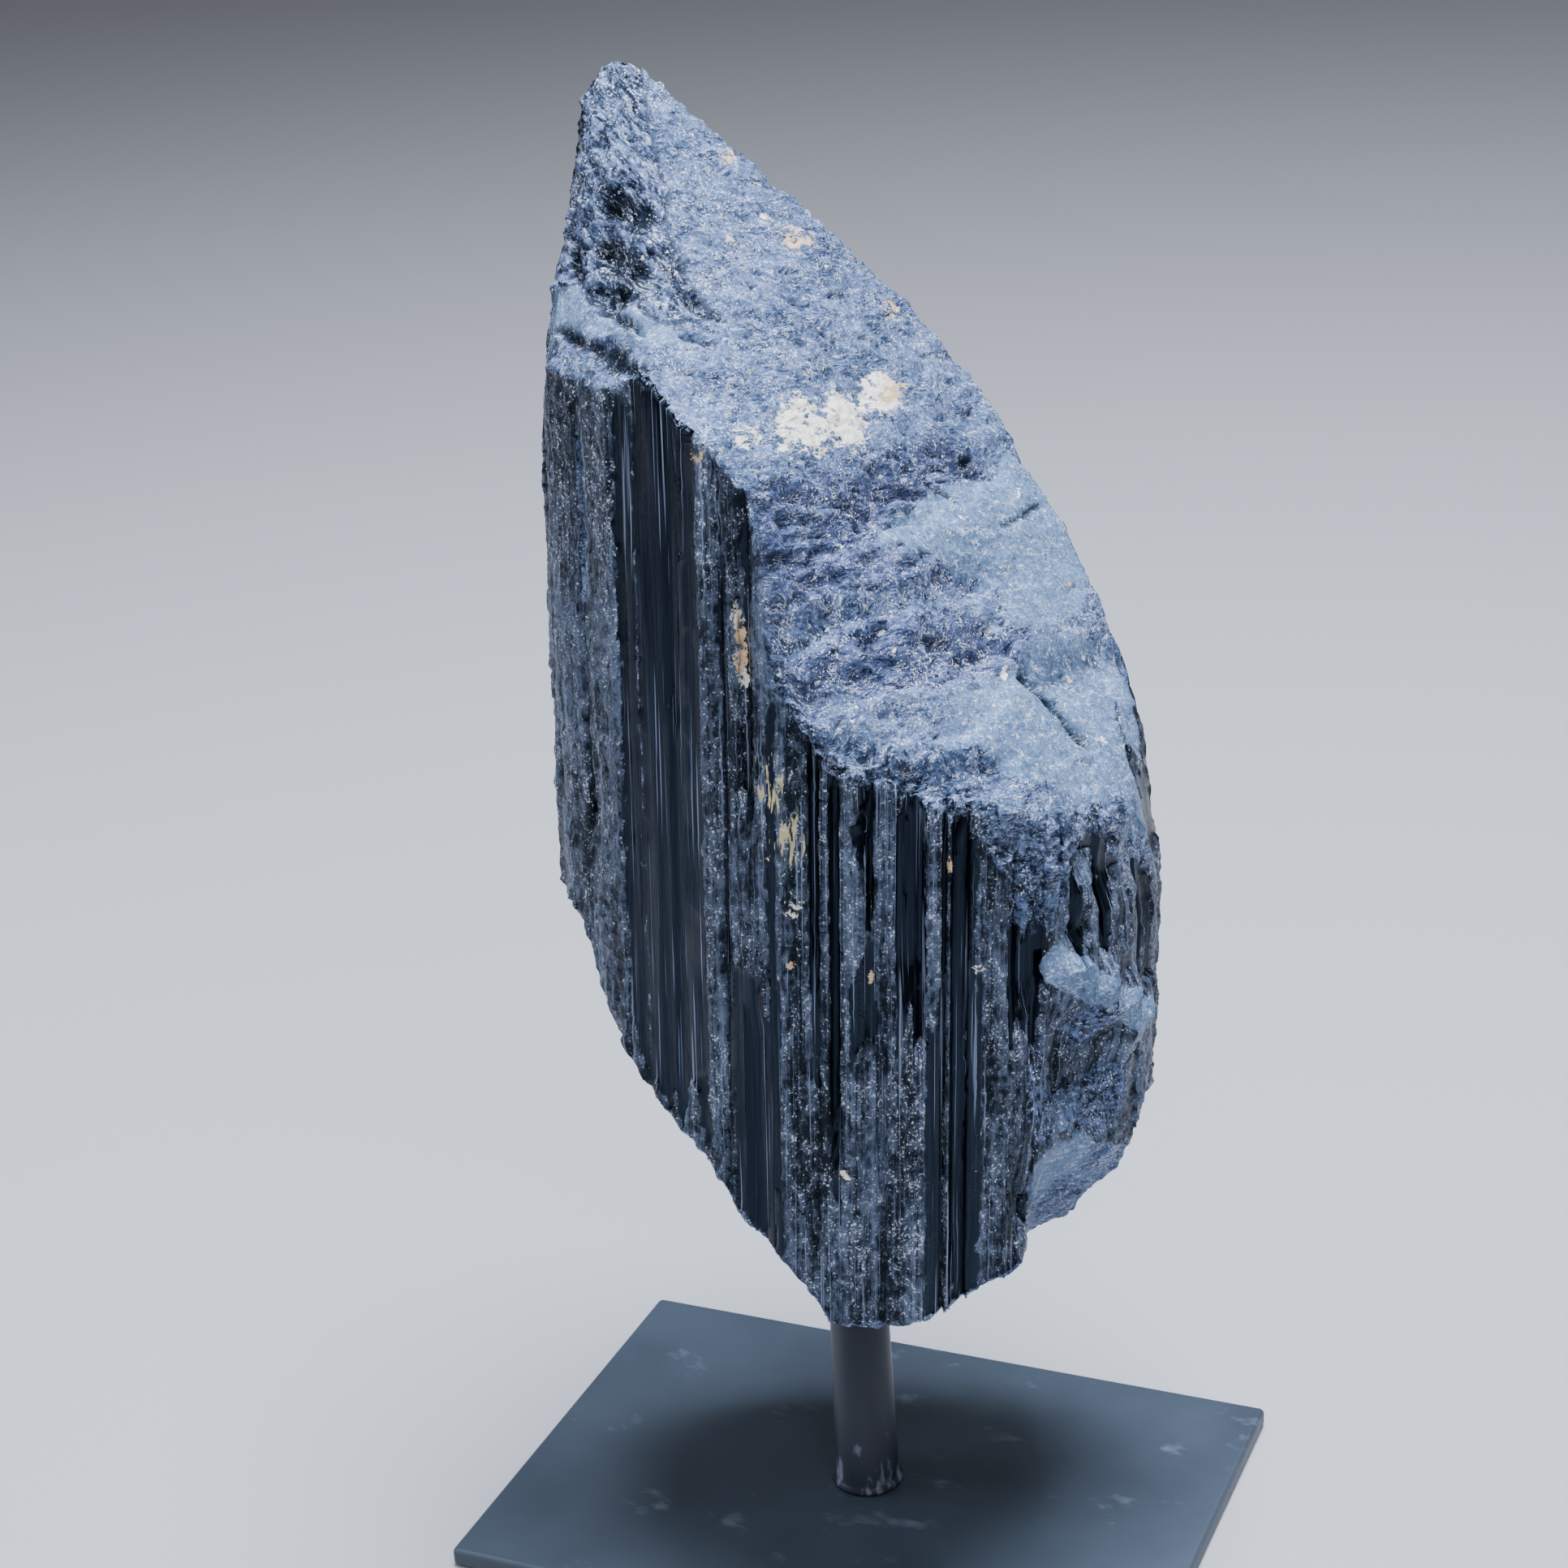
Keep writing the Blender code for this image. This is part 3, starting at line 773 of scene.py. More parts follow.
@dataclass
class Crystal:
    """The tourmaline crystal, worked over from its solid.

    Lengths are in millimetres in the crystal's own frame: x to the right of its front, y away from
    it, z up. A u is an x with the crystal's lean taken out.
    """

    turn: float = 24.24
    lean: float = 2.5
    lean_from: float = 140.0
    cell: float = 0.85
    most_faces: int = 196_000
    bore: tuple[float, float] = (7.5, 68.0)  # radius and height that stay as the post needs them
    front_to: float = 2.0  # a y lower than this is the front, whose clean columns are listed
    rim_reach: float = 7.0  # the rim is followed this far in from the skin
    rim_to: float = -5.0  # and for a y lower than this
    grainy_from: float = -12.0  # right of this u the rim is granular
    upper_from: float = 100.0  # everything that belongs to the upper break is higher than this
    sheer_from: float = 166.0  # above this the break cuts through the whole section
    slots: tuple[float, float] = (108.0, 166.0)  # the heights where deep slots are split clean
    spire_from: float = 213.0
    trend: float = 46.0
    dip: float = 0.17
    furrow: Point = (0.64, -0.38, -0.66)
    # corners of the cross-section, anticlockwise from the back, where the way around it starts
    section: Line = (
        (8.0, 35.0), (-10.0, 35.0), (-26.0, 31.0), (-38.0, 22.0), (-45.0, 12.0), (-46.2, 4.0),
        (-44.9, -4.0), (-35.5, -21.0), (-21.0, -32.0), (-11.2, -38.5), (3.5, -41.5), (20.5, -40.5),
        (30.0, -36.5), (38.3, -30.0), (48.5, -18.0), (54.8, -6.0), (57.0, 3.0), (52.0, 15.0),
        (41.0, 25.0), (26.0, 31.5), (8.0, 35.0))
    # the lower rim of the upper break across the front, as u and z
    rim: Line = (
        (-60.0, 216.0), (-39.5, 217.0), (-33.5, 217.5), (-28.6, 220.4), (-24.2, 216.3),
        (-20.7, 212.2), (-18.3, 208.1), (-15.3, 205.9), (-11.6, 203.6), (-11.0, 180.0),
        (-10.4, 174.6), (-5.5, 168.7), (-1.9, 161.9), (2.3, 158.1), (8.6, 157.8), (11.9, 155.0),
        (16.9, 150.8), (21.3, 152.0), (22.7, 144.9), (28.7, 138.3), (34.2, 134.7), (37.8, 138.0),
        (40.9, 141.4), (43.8, 138.1), (44.4, 134.7), (49.5, 129.9), (54.4, 125.1), (60.0, 124.0))
    columns: tuple[Column, ...] = (
        Column(-46.6, -45.4, 90.0, 219.0), Column(-33.9, -31.4, 104.0, 216.0),
        Column(-30.9, -21.6, 97.0, 222.0),
        Column(-18.1, -17.3, 104.0, 196.0), Column(-14.2, -13.4, 150.0, 200.0),
        Column(-17.2, -9.8, 50.0, 124.0), Column(-11.4, -10.2, 124.0, 170.0),
        Column(-4.9, -3.5, 104.0, 164.0), Column(-1.9, -0.3, 86.0, 162.0),
        Column(1.2, 5.2, 112.0, 128.0), Column(2.6, 5.2, 144.0, 158.0),
        Column(8.6, 13.3, 118.0, 157.0), Column(13.4, 16.2, 52.0, 116.0),
        Column(17.2, 18.2, 52.0, 152.0), Column(18.5, 21.2, 50.0, 147.0),
        Column(21.2, 22.4, 50.0, 118.0), Column(26.6, 28.6, 116.0, 140.0),
        Column(28.8, 32.8, 113.0, 130.0), Column(35.2, 36.6, 130.0, 148.0),
        Column(37.2, 39.5, 121.0, 134.0), Column(42.6, 44.6, 121.0, 144.0),
        Column(50.0, 53.0, 110.0, 131.0))
    areas: tuple[Area, ...] = (
        Area(Cover.FIBROUS, (
            (-9.5, -33.0), (3.1, -16.3), (15.6, 3.1), (30.0, 22.7), (27.4, 14.6), (19.4, 4.5),
            (11.2, -8.1), (8.2, -16.3), (11.4, -15.7), (19.5, -6.7), (26.6, -0.7), (23.5, -4.6),
            (13.8, -14.9), (7.7, -24.1), (-3.8, -31.7), (-9.4, -38.5))),
        Area(Cover.FIBROUS, (
            (-8.0, -37.2), (-2.2, -33.2), (10.6, -25.3), (17.4, -16.5), (24.2, -10.4), (33.0, -5.6),
            (28.6, -14.4), (23.3, -18.9), (16.4, -26.7), (9.9, -31.1), (3.7, -33.1), (-8.8, -38.6)),
            1.2),
        Area(Cover.SMOOTH, (
            (11.2, -8.3), (9.0, -16.2), (19.6, -6.4), (26.6, -0.4), (29.7, -3.1), (31.4, -5.2),
            (37.0, 0.9), (44.3, 12.7), (46.0, 22.0), (40.0, 28.0), (33.0, 26.0), (30.5, 18.9),
            (25.2, 11.7), (19.3, 4.2)), 1.2),
        Area(Cover.SMOOTH, (
            (20.5, -25.0), (25.3, -18.5), (32.9, -6.2), (44.8, 10.8), (53.0, 14.0), (58.0, 4.0),
            (54.0, -3.5), (43.0, -19.5), (30.0, -30.5), (21.7, -32.8), (16.5, -31.8)), 2.4),
        Area(Cover.SMOOTH, (
            (-40.5, 5.2), (-36.3, 2.4), (-32.4, -8.3), (-24.0, -15.5), (-16.8, -14.2),
            (-15.9, -14.7), (-24.2, -20.2), (-31.6, -12.0), (-37.2, -4.5), (-41.0, -1.8)), 1.0,
            221.4),
        Area(Cover.GRANULAR, (
            (-24.5, 30.0), (-23.0, 15.5), (-20.5, 6.6), (-21.2, 0.8), (-18.0, -5.5), (-13.6, -8.0),
            (-17.5, -12.0), (-24.0, -15.0), (-31.4, -8.0), (-35.3, 2.0), (-44.0, 7.0),
            (-44.0, 20.0)), 1.4, 223.0))
    ledges: tuple[Ledge, ...] = (
        Ledge(((-8.5, -32.3), (3.1, -16.3), (15.6, 3.1), (30.0, 22.7)), 1.2, 0.9, 3.0),
        Ledge(((-9.4, -37.7), (-3.8, -31.7), (7.7, -24.1), (12.5, -16.7), (19.6, -6.5),
               (26.6, 0.7)), 2.0, 1.1, 5.0),
        Ledge(((-7.5, -36.5), (4.1, -29.3), (10.6, -25.3), (17.4, -16.5), (24.2, -10.4),
               (33.0, -5.3), (38.4, 1.8), (45.0, 12.6), (52.0, 18.0)), 3.2, 2.6, 8.0),
        Ledge(((-2.8, -37.5), (9.2, -36.9), (15.5, -34.6), (21.9, -33.2), (27.3, -27.9)), 1.6, 1.0,
               4.0))
    grooves: tuple[Groove, ...] = (
        Groove(((32.1, -10.5, 165.2), (36.3, -11.2, 159.0), (40.3, -12.2, 153.0),
                (41.9, -11.8, 151.2)), 2.1, 2.2, 1.0),
        Groove(((31.0, 10.5, 182.0), (34.6, 16.3, 181.7), (38.2, 22.9, 181.5)), 0.8, 0.5),
        Groove(((18.1, 3.6, 193.2), (20.8, 5.7, 190.5), (23.4, 6.6, 188.1)), 0.9, 0.6),
        Groove(((48.4, 2.1, 152.8), (48.6, -0.9, 150.3), (49.0, -3.4, 147.7)), 0.7, 0.4),
        Groove(((-36.4, 8.5, 236.0), (-36.0, 3.5, 230.1), (-34.8, 0.9, 229.3)), 1.7, 2.0),
        Groove(((-31.0, -8.8, 226.1), (-27.7, -15.9, 225.9), (-25.3, -18.0, 225.0)), 1.4, 1.2),
        Groove(((-23.1, -2.3, 233.8), (-20.1, -6.6, 230.0), (-15.4, -8.6, 225.2),
                (-13.6, -8.0, 224.0)), 1.5, 1.3),
        Groove(((-19.0, -15.2, 223.1), (-16.9, -14.6, 222.2), (-15.4, -14.4, 221.6)), 1.2, 0.8),
        Groove(((-39.0, -1.0, 221.5), (-35.9, -6.9, 221.3), (-32.5, -13.3, 221.0),
                (-29.2, -20.1, 220.6), (-25.5, -23.8, 220.3)), 2.0, 1.5),
        Groove(((25.8, 16.0, 192.8), (24.9, 14.9, 192.6)), 1.5, 1.4),
        Groove(((-28.5, 3.0, 239.5), (-25.0, 1.7, 238.4)), 4.2, 1.8),
        Groove(((-30.5, 0.5, 233.0), (-26.0, -5.2, 230.8)), 4.5, 2.0),
        Groove(((-32.3, -3.5, 228.2), (-27.9, -9.8, 228.0)), 3.2, 1.4),
        Groove(((-31.0, -17.0, 221.4), (-29.4, -19.2, 220.4)), 3.4, 2.2),
        Groove(((37.0, -31.0, 111.0), (45.0, -22.5, 100.0)), 3.0, 1.2, 0.35),
        Groove(((28.5, -34.0, 79.0), (30.5, -28.0, 70.0)), 3.6, 2.2, 0.6),
        Groove(((20.5, -33.5, 158.5), (24.5, -33.0, 155.5), (27.5, -33.5, 149.5)), 3.0, 1.0, 0.1))
    bands: tuple[Band, ...] = (
        Band(Cover.SMOOTH, ((34.5, -33.5, 122.0), (40.9, -29.8, 116.0), (46.3, -24.6, 110.2),
                            (51.5, -14.0, 102.0), (53.8, -9.5, 98.6)), 3.4),)
    patches: tuple[Patch, ...] = (
        Patch(Cover.SMOOTH, (48.5, -11.5, 134.0), (6.0, 8.0, 5.0)),
        Patch(Cover.GRANULAR, (42.0, -27.0, 106.5), (8.0, 8.0, 5.0)),
        Patch(Cover.GRANULAR, (31.5, -34.5, 99.0), (4.0, 5.0, 15.0), 0.7),
        Patch(Cover.GRANULAR, (44.0, -22.0, 91.0), (9.0, 9.0, 7.0)),
        Patch(Cover.GRANULAR, (31.0, -33.5, 136.5), (7.0, 6.0, 10.0), 0.9),
        Patch(Cover.SMOOTH, (34.0, -27.0, 81.5), (9.0, 9.0, 8.0)),
        Patch(Cover.FELDSPAR, (-2.0, -14.5, 208.0), (8.5, 8.0, 6.5), 0.70),
        Patch(Cover.FELDSPAR, (4.5, -6.0, 206.0), (9.0, 9.0, 6.0), 0.76),
        Patch(Cover.FELDSPAR, (11.5, 6.0, 206.8), (8.0, 9.5, 4.0), 0.74),
        Patch(Cover.FELDSPAR, (-5.0, -20.5, 207.0), (6.0, 6.0, 4.0), 0.52),
        Patch(Cover.RUST, (14.0, 9.0, 206.5), (6.0, 7.0, 3.0), 0.56),
        Patch(Cover.FELDSPAR, (-10.5, -26.0, 209.8), (5.5, 6.0, 2.5), 0.5),
        Patch(Cover.RUST, (-0.5, 18.4, 230.4), (5.5, 5.0, 4.0), 0.54),
        Patch(Cover.FELDSPAR, (-4.7, 18.4, 234.5), (2.6, 2.6, 2.0), 0.52),
        Patch(Cover.RUST, (-11.0, 23.0, 243.2), (6.0, 4.5, 2.6), 0.5),
        Patch(Cover.RUST, (15.5, 24.5, 216.0), (3.4, 4.0, 3.4), 0.5),
        Patch(Cover.FELDSPAR, (-11.3, 7.2, 232.5), (1.8, 1.8, 1.5), 0.6),
        Patch(Cover.RUST, (-17.5, -32.0, 209.2), (3.0, 3.0, 2.4), 0.5),
        Patch(Cover.RUST, (-13.3, -35.0, 180.0), (1.5, 3.0, 8.5), 0.66),
        Patch(Cover.FELDSPAR, (-13.6, -35.0, 184.0), (1.3, 3.0, 4.5), 0.74),
        Patch(Cover.FELDSPAR, (-12.9, -35.0, 174.5), (1.2, 3.0, 3.5), 0.74),
        Patch(Cover.SERICITE, (-10.0, -38.3, 158.0), (3.0, 4.0, 6.0), 0.5),
        Patch(Cover.SERICITE, (-7.8, -39.0, 148.5), (3.2, 4.0, 6.0), 0.56),
        Patch(Cover.FELDSPAR, (-7.8, -39.0, 137.6), (3.0, 3.0, 3.0), 0.46),
        Patch(Cover.RUST, (17.3, -40.2, 143.7), (0.9, 2.0, 2.0), 0.8),
        Patch(Cover.RUST, (3.9, -40.4, 125.1), (0.8, 2.0, 2.6), 0.7),
        Patch(Cover.RUST, (-8.4, -38.6, 127.3), (1.3, 2.0, 1.6), 0.6),
        Patch(Cover.RUST, (-10.8, -38.3, 145.8), (1.0, 2.0, 1.4), 0.6),
        Patch(Cover.RUST, (44.7, -20.0, 140.0), (0.9, 2.0, 3.0), 0.6),
        Patch(Cover.FELDSPAR, (20.9, -39.6, 125.0), (1.2, 2.0, 1.2), 0.8),
        Patch(Cover.FELDSPAR, (-1.9, -40.6, 90.2), (1.3, 2.0, 1.2), 0.8),
        Patch(Cover.FELDSPAR, (41.3, -12.4, 151.6), (1.3, 1.5, 1.3), 0.8),
        Patch(Cover.FELDSPAR, (44.8, -8.3, 150.0), (1.1, 1.4, 1.2), 0.8),
        Patch(Cover.FELDSPAR, (24.1, 4.7, 186.4), (1.4, 1.6, 1.2), 0.8),
        Patch(Cover.FELDSPAR, (34.3, 19.7, 184.4), (1.2, 1.6, 1.2), 0.8),
        Patch(Cover.FELDSPAR, (28.4, -13.3, 167.2), (0.9, 2.2, 2.4), 0.9),
        Patch(Cover.RUST, (42.2, 14.8, 169.7), (1.0, 1.2, 1.0), 0.7),
        Patch(Cover.RUST, (40.4, -0.6, 161.5), (1.0, 1.2, 1.0), 0.7))
    finish: Schorl = field(default_factory=Schorl)

    def build(self) -> bpy.types.Object:
        """Builds the crystal's piece.

        Returns:
            The piece, dressed, riding and standing for its solid.
        """
        piece, bm = merged_copy("crystal", "tourmaline_crystal")
        self._refine(bm)
        bm.to_mesh(piece.data)
        bm.free()
        self._weather(piece.data)
        self._thin(piece)
        piece.data.materials.append(self.finish.build())
        piece.data.set_sharp_from_angle(angle=math.radians(40))
        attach(piece, "root")
        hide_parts("crystal")
        return piece

    def _refine(self, bm: bmesh.types.BMesh) -> None:
        """Cuts the faces down to small cells, in level rows so that edges follow the columns.

        Args:
            bm: The welded solid.
        """
        bmesh.ops.dissolve_limit(bm, angle_limit=math.radians(0.8), verts=bm.verts, edges=bm.edges)
        step = 1.25 * self.cell * MM
        level = min(v.co.z for v in bm.verts) + step
        high = max(v.co.z for v in bm.verts)
        while level < high:
            rows = [f for f in bm.faces if min(v.co.z for v in f.verts) < level - 1e-7
                    and max(v.co.z for v in f.verts) > level + 1e-7]
            near = {e for f in rows for e in f.edges} | {v for f in rows for v in f.verts}
            bmesh.ops.bisect_plane(bm, geom=list(near) + rows, dist=1e-7, plane_co=(0, 0, level),
                                   plane_no=(0, 0, 1))
            level += step
        bmesh.ops.triangulate(bm, faces=bm.faces)
        for _ in range(5):
            long = [e for e in bm.edges if e.calc_length() > 1.45 * self.cell * MM]
            bmesh.ops.subdivide_edges(bm, edges=long, cuts=1)
            bmesh.ops.triangulate(bm, faces=[f for f in bm.faces if len(f.verts) > 3])
        for _ in range(3):  # slivers along the level rows are merged away
            bmesh.ops.dissolve_degenerate(bm, dist=5e-6, edges=bm.edges)
            bmesh.ops.triangulate(bm, faces=[f for f in bm.faces if len(f.verts) > 3])

    def _thin(self, piece: bpy.types.Object) -> None:
        """Merges the cells of plain ground, and keeps the mesh fine where there is relief.

        Args:
            piece: The crystal's piece with its fine mesh.
        """
        modifier = piece.modifiers.new("thin", "DECIMATE")
        modifier.ratio = self.most_faces / len(piece.data.polygons)
        depsgraph = bpy.context.evaluated_depsgraph_get()
        fine = piece.data
        piece.data = bpy.data.meshes.new_from_object(
            piece.evaluated_get(depsgraph), preserve_all_data_layers=True, depsgraph=depsgraph)
        piece.modifiers.clear()
        bpy.data.meshes.remove(fine)

    def _weather(self, mesh: bpy.types.Mesh) -> None:
        """Works steps, columns, chips and grain into the fine mesh, and marks what each spot is.

        Args:
            mesh: The fine mesh, which also gets the attributes that its material reads.
        """
        here = np.empty(3 * len(mesh.vertices))
        normal = np.empty_like(here)
        mesh.vertices.foreach_get("co", here)
        mesh.vertex_normals.foreach_get("vector", normal)
        here, normal = here.reshape(-1, 3), normal.reshape(-1, 3)
        spots = self._survey(here, normal)
        broken, clean, top, covers = self._sort(spots)
        fibrous, smooth, granular = covers["grade"].T
        rough = (1.0 - ramp(clean, 0.35, 0.65)) * (1.0 - broken)
        grit = np.random.default_rng(3).uniform(-1.0, 1.0, len(here))
        flow = self._flow(spots.own, (spots.own[:, 2] > self.spire_from) & (granular > 0.4))
        side = self._column_relief(spots, clean, rough, grit)
        face = self._break_relief(spots.own, flow, covers["grade"], grit)

        move = normal * (face * broken)[:, None]
        move[:, :2] += spots.outward * (side * (1.0 - broken))[:, None]
        # steps and furrows
        stray = 0.8 * Grain(16)(spots.own, 4.0) + 0.5 * Grain(17)(spots.own, 1.8)
        steps = [ledge.fall(spots.own, stray) for ledge in self.ledges]
        wall = np.max([step[1] for step in steps], axis=0) * top
        cuts = [groove.cut(spots.own + 0.5 * stray[:, None]) for groove in self.grooves]
        shaded = np.max([groove.dark * ramp(cut, 0.1 * groove.depth, 0.6 * groove.depth)
                         for groove, cut in zip(self.grooves, cuts)], axis=0)
        move[:, 2] -= np.sum([step[0] for step in steps], axis=0) * top
        move -= normal * np.max(cuts, axis=0)[:, None]
        radius, height = self.bore
        move[(np.hypot(here[:, 0], here[:, 1]) < radius * MM) & (spots.own[:, 2] < height)] = 0.0
        moved = here + move * MM
        moved[:, 2] = np.minimum(moved[:, 2], here[:, 2].max())
        mesh.vertices.foreach_set("co", moved.ravel())

        # painted shade in the clefts: grooves, low ground of the breaks, walls of the steps, and
        # gaps between chips
        cleft_shade = [shaded, ramp(-face, 0.2, 0.8) * broken * (0.45 + 0.35 * ramp(granular, 0.4, 0.6)),
                 wall * (0.35 + 0.35 * ramp(Grain(21)(flow, (6.0, 1.6, 1.4)), 0.0, 0.5)),
                 ramp(-side, 0.3, 0.8) * rough * 0.55]
        covers["dress"] = np.column_stack([broken, clean, np.max(cleft_shade, axis=0)])
        for name, values in covers.items():
            layer = mesh.attributes.new(name, "FLOAT_COLOR", "POINT")
            layer.data.foreach_set("color", np.column_stack([values, np.ones(len(here))]).ravel())
        for name, values in (("strand", spots.strand), ("flow", flow)):
            layer = mesh.attributes.new(name, "FLOAT_VECTOR", "POINT")
            layer.data.foreach_set("vector", values.ravel())
        # clean splits are smooth, and everything else keeps the small flat facets of its cells
        calm = np.maximum(clean, smooth) > 0.5
        corners = np.empty(3 * len(mesh.polygons), dtype=np.int32)
        mesh.polygons.foreach_get("vertices", corners)
        mesh.polygons.foreach_set("use_smooth", calm[corners.reshape(-1, 3)].all(axis=1))
        mesh.update()

    def _survey(self, here: np.ndarray, normal: np.ndarray) -> Spots:
        """Measures where the mesh's points lie on the crystal.

        Args:
            here: The points' positions in metres.
            normal: Their normals.

        Returns:
            Their places, in millimetres.
        """
        c, s = math.cos(math.radians(self.turn)), math.sin(math.radians(self.turn))
        x, y, z = here.T / MM
        own = np.column_stack([c * x + s * y, c * y - s * x, z])
        u = own[:, 0] - math.tan(math.radians(self.lean)) * (z - self.lean_from)
        plan = np.column_stack([u, own[:, 1]])
        _, way, run = against_line(plan, self.section)
        out = rightward(self.section, run)
        depth = -((plan - np.array(self.section)[run]) * out).sum(axis=1)
        outward = out @ np.array(Matrix.Rotation(math.radians(self.turn), 2)).T
        return Spots(own, u, depth, np.column_stack([way, z, depth]), outward, np.abs(normal[:, 2]))

    def _sort(self, spots: Spots) -> tuple[np.ndarray, np.ndarray, np.ndarray,
                                           dict[str, np.ndarray]]:
        """Sorts the points by the kind of surface that they are on.

        Args:
            spots: Where the points are.

        Returns:
            How broken and how cleanly split each point is, how far it belongs to the upper break,
            and its covers by attribute.
        """
        own, u, depth = spots.own, spots.u, spots.depth
        z = own[:, 2]
        ragged = 1.0 * Grain(18)(own, 2.6) + 1.1 * Shards(19)(own, 3.0)
        above = z - np.interp(u, *np.array(self.rim).T) + ragged
        outer = (depth < self.rim_reach) & (own[:, 1] < self.rim_to) & (z > self.upper_from)
        broken = np.where(outer, ramp(above, -0.7, 0.7), ramp(spots.facing_up, 0.14, 0.44))
        broken = np.where((depth > 1.5) & (z > self.sheer_from), 1.0, broken)
        top = broken * (z > self.upper_from)
        covers = {"growth": np.zeros((len(own), 3)), "grade": np.zeros((len(own), 3))}
        for cover in (*self.areas, *self.bands, *self.patches):
            name, channel = cover.cover.value
            level = cover.level(own) * (top if isinstance(cover, Area) else 1.0)
            covers[name][:, channel] = np.maximum(covers[name][:, channel], level)
        # the break is granular just inside its rim
        near_rim = outer * ramp(above, -1.5, 0.0) * (1.0 - ramp(above, 2.0, 9.0))
        near_rim = near_rim * (u > self.grainy_from)
        grade = covers["grade"]
        grade[:, 2] = np.maximum(grade[:, 2], 0.66 * near_rim)

        front = own[:, 1] < self.front_to
        strand = spots.strand
        wander = u + 0.35 * Grain(1)(own, (30.0, 30.0, 5.0))
        stagger = (z + 9.0 * Grain(20)(strand, (1.3, 400.0, 200.0))
                   + 1.5 * Grain(22)(strand, (0.9, 3.0, 9.0)))
        columns = np.max([column.level(wander, stagger) for column in self.columns], axis=0) * front
        low, high = self.slots
        slot = ramp(depth, 0.7, 2.2) * (spots.facing_up < 0.2) * (z > low) * (z < high)
        elsewhere = ramp(Shards(2)(strand, (3.4, 90.0, 60.0)), -0.1, 0.6) * (~front)
        clean = np.maximum.reduce([columns, slot, elsewhere]) * (1.0 - broken)
        return np.maximum(broken, grade[:, 1]), clean, top, covers

    def _column_relief(self, spots: Spots, clean: np.ndarray, rough: np.ndarray,
                       grit: np.ndarray) -> np.ndarray:
        """The relief of the sides: each column has its own level, and frosted ones are chipped.

        Args:
            spots: Where the points are.
            clean: How cleanly split each point is.
            rough: How frosted each point is.
            grit: Noise from point to point.

        Returns:
            How far each point moves outward, in millimetres.
        """
        strand = spots.strand
        side = (0.42 * Shards(4)(strand, (2.7, 300.0, 200.0))
                + 0.16 * Grain(5)(strand, (1.3, 90.0, 90.0)))
        side += rough * (0.34 * Shards(6)(strand, (2.2, 4.0, 30.0))
                         + 0.26 * Grain(7)(spots.own, (1.5, 1.5, 2.2)) + 0.10 * grit)
        return side - 0.45 * ramp(clean, 0.3, 0.7)

    def _break_relief(self, own: np.ndarray, flow: np.ndarray, grade: np.ndarray,
                      grit: np.ndarray) -> np.ndarray:
        """The relief of the breaks: chips, shards and lumps, quiet on smooth splits.

        Args:
            own: Positions in the crystal's own frame.
            flow: The same, turned to run along the steps.
            grade: How fibrous, smooth and granular each point is.
            grit: Noise from point to point.

        Returns:
            How far each point moves out of its surface, in millimetres.
        """
        face = (0.45 * Grain(8)(flow, (9.0, 4.0, 4.0)) + 0.55 * Shards(9)(flow, (4.2, 2.4, 2.0))
                + 0.15 * grit)
        fibres = (0.85 * Shards(10)(flow, (7.0, 2.2, 1.8)) + 0.5 * Grain(11)(flow, (9.0, 1.8, 1.8))
                  + 0.08 * grit)
        lumps = 0.85 * Shards(12)(flow, (4.0, 2.0, 1.7)) + 0.35 * Grain(13)(own, 4.0) + 0.14 * grit
        plain = (0.30 * Grain(14)(flow, (9.0, 5.0, 5.0)) + 0.28 * Shards(15)(flow, (7.0, 5.0, 3.0))
                 + 0.04 * grit)
        fibrous, smooth, granular = grade.T
        for level, kind in ((fibrous, fibres), (granular, lumps), (smooth, plain)):
            face = face + ramp(level, 0.35, 0.65) * (kind - face)
        return face

    def _flow(self, own: np.ndarray, spire: np.ndarray) -> np.ndarray:
        """Turns positions so that the first axis runs along the steps of the break.

        Args:
            own: Positions in the crystal's own frame.
            spire: Which of them lie on the crumbled spire, whose furrows run down to the right.

        Returns:
            The turned positions in millimetres.
        """
        c, s = math.cos(math.radians(self.trend)), math.sin(math.radians(self.trend))
        along, across = c * own[:, 0] + s * own[:, 1], c * own[:, 1] - s * own[:, 0]
        steps = np.column_stack([along, across, own[:, 2] + self.dip * along])
        down = Vector(self.furrow).normalized()
        level = down.cross(Vector((0.0, 0.0, 1.0))).normalized()
        furrows = own @ np.array([0.6 * down, level, down.cross(level)]).T
        return np.where(spire[:, None], furrows, steps)


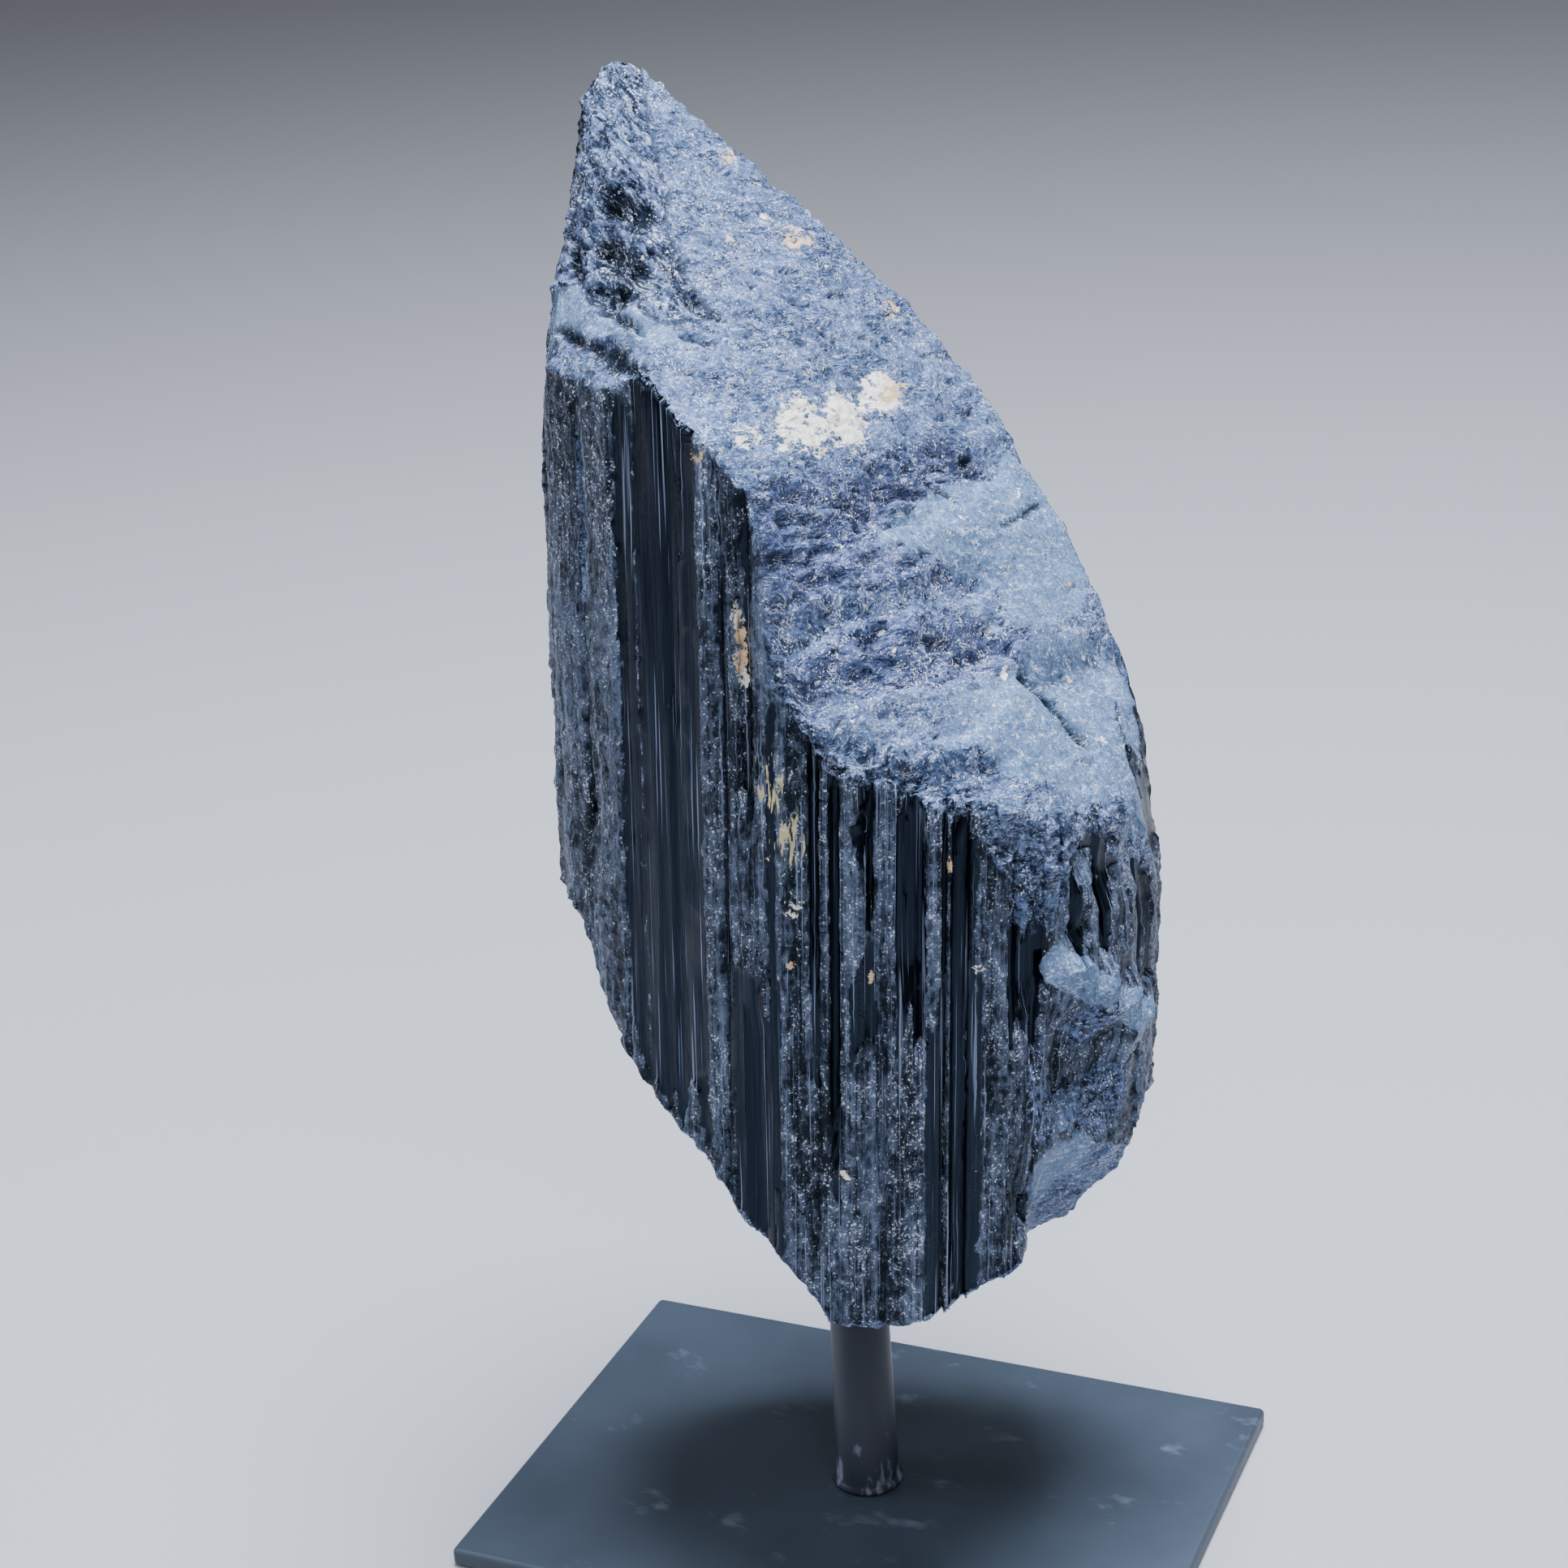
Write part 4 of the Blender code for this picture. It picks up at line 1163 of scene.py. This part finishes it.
@dataclass
class Stand:
    """The steel plate and the tapered post that carry the crystal.

    Edges that turn more than a piece's sharp degrees stay sharp, and faces larger than its flat
    square millimetres stay flat.
    """

    plate_sharp: float = 25.0
    plate_flat: float = 20.0
    post_sharp: float = 40.0
    post_flat: float = 100.0
    coat: PowderCoat = field(default_factory=PowderCoat)
    paint: SatinPaint = field(default_factory=SatinPaint)

    def build(self) -> list[bpy.types.Object]:
        """Builds the plate and the post.

        Returns:
            The two pieces.
        """
        return [self._piece("base_plate", "stand_plate", self.coat.build(),
                            self.plate_sharp, self.plate_flat),
                self._piece("post", "stand_post", self.paint.build(),
                            self.post_sharp, self.post_flat)]

    def _piece(self, node: str, name: str, material: bpy.types.Material,
               sharp: float, flat: float) -> bpy.types.Object:
        """Dresses a smooth copy of one solid.

        Args:
            node: The solid's node.
            name: The piece's name.
            material: Its finish.
            sharp: Edges that turn more than this many degrees stay sharp.
            flat: Faces larger than this many square millimetres stay flat.

        Returns:
            The piece, riding on the stand's body.
        """
        piece, bm = merged_copy(node, name)
        for face in bm.faces:
            face.smooth = face.calc_area() < flat * MM * MM
        bm.to_mesh(piece.data)
        bm.free()
        piece.data.materials.append(material)
        piece.data.set_sharp_from_angle(angle=math.radians(sharp))
        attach(piece, "root")
        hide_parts(node)
        return piece


@dataclass(frozen=True)
class MattePaper:
    """Pale uncoated paper laid on the floor: even and without shine, so that only shadows show."""

    colour: str = "#a7a7a8"
    rough: float = 0.85

    def build(self) -> bpy.types.Material:
        """Builds the floor's material.

        Returns:
            The material.
        """
        material, _, shader = new_material("matte_paper")
        shader.inputs["Base Color"].default_value = linear(self.colour)
        shader.inputs["Roughness"].default_value = self.rough
        return material


@dataclass(frozen=True)
class Lamp:
    """A square soft lamp: its place and size in metres, its power in watts and its colour."""

    name: str
    place: Point
    size: float
    power: float
    colour: str

    def hang(self, target: Point) -> None:
        """Hangs the lamp.

        Args:
            target: What it is aimed at.
        """
        lamp = bpy.data.lights.new(self.name, "AREA")
        lamp.size = self.size
        lamp.energy = self.power
        lamp.color = linear(self.colour)[:3]
        holder = bpy.data.objects.new(self.name, lamp)
        holder.location = self.place
        aim = Vector(target) - Vector(self.place)
        holder.rotation_euler = aim.to_track_quat("-Z", "Y").to_euler()
        bpy.context.scene.collection.objects.link(holder)


@dataclass
class Studio:
    """A pale floor, soft lamps and the camera. Lengths are in metres."""

    floor_size: float = 14.0
    floor_gap: float = 0.0002
    paper: MattePaper = field(default_factory=MattePaper)
    sky_colour: str = "#ccd0d8"
    sky_strength: float = 0.30
    lamps: tuple[Lamp, ...] = (
        Lamp("key_lamp", (0.12, 0.06, 1.25), 0.5, 53.0, "#e4ecff"),
        Lamp("front_lamp", (0.55, -0.75, 1.00), 0.8, 9.0, "#edf1fb"),
        Lamp("side_lamp", (-0.95, -0.35, 0.45), 0.5, 6.0, "#dde4f2"))
    lamps_aim: Point = (0.0, 0.0, 0.13)
    camera_at: Point = (0.1815, -0.4221, 0.3278)
    right: Point = (0.9118, 0.4106, 0.0)
    up: Point = (-0.1535, 0.3410, 0.9274)
    ahead: Point = (-0.3808, 0.8456, -0.3740)
    roll: float = -3.45
    lens: float = 67.9

    def build(self) -> None:
        """Sets up the floor, the light and the camera."""
        self._floor()
        self._light()
        self._camera()

    def _floor(self) -> None:
        """Lays the floor just under the plate."""
        bm = bmesh.new()
        bmesh.ops.create_grid(bm, x_segments=1, y_segments=1, size=self.floor_size / 2)
        mesh = bpy.data.meshes.new("studio_floor")
        bm.to_mesh(mesh)
        bm.free()
        floor = bpy.data.objects.new("studio_floor", mesh)
        floor.location.z = -self.floor_gap
        bpy.context.scene.collection.objects.link(floor)
        mesh.materials.append(self.paper.build())

    def _light(self) -> None:
        """Hangs an overhead key lamp, a front lamp and a side lamp, under a dim even sky."""
        world = bpy.data.worlds.new("studio_sky")
        world.use_nodes = True
        sky = world.node_tree.nodes["Background"]
        sky.inputs["Color"].default_value = linear(self.sky_colour)
        sky.inputs["Strength"].default_value = self.sky_strength
        bpy.context.scene.world = world
        for lamp in self.lamps:
            lamp.hang(self.lamps_aim)

    def _camera(self) -> None:
        """Sets the camera at its place, a little rolled."""
        data = bpy.data.cameras.new("camera")
        data.sensor_width = 36.0
        data.lens = self.lens
        data.clip_start = 0.01
        camera = bpy.data.objects.new("camera", data)
        c, s = math.cos(math.radians(self.roll)), math.sin(math.radians(self.roll))
        right, up, ahead = Vector(self.right), Vector(self.up), Vector(self.ahead)
        across, above = c * right + s * up, c * up - s * right
        turned = Matrix((across, above, -ahead)).transposed().to_4x4()
        camera.matrix_world = Matrix.Translation(self.camera_at) @ turned
        bpy.context.scene.collection.objects.link(camera)
        bpy.context.scene.camera = camera


def main() -> None:
    """Builds the studio, the stand and the crystal."""
    logging.basicConfig(level=logging.INFO, format="%(name)s: %(message)s")
    Studio().build()
    pieces = Stand().build() + [Crystal().build()]
    for piece in pieces:
        log.info("%s: %d faces", piece.name, len(piece.data.polygons))


if __name__ == "__main__":
    main()
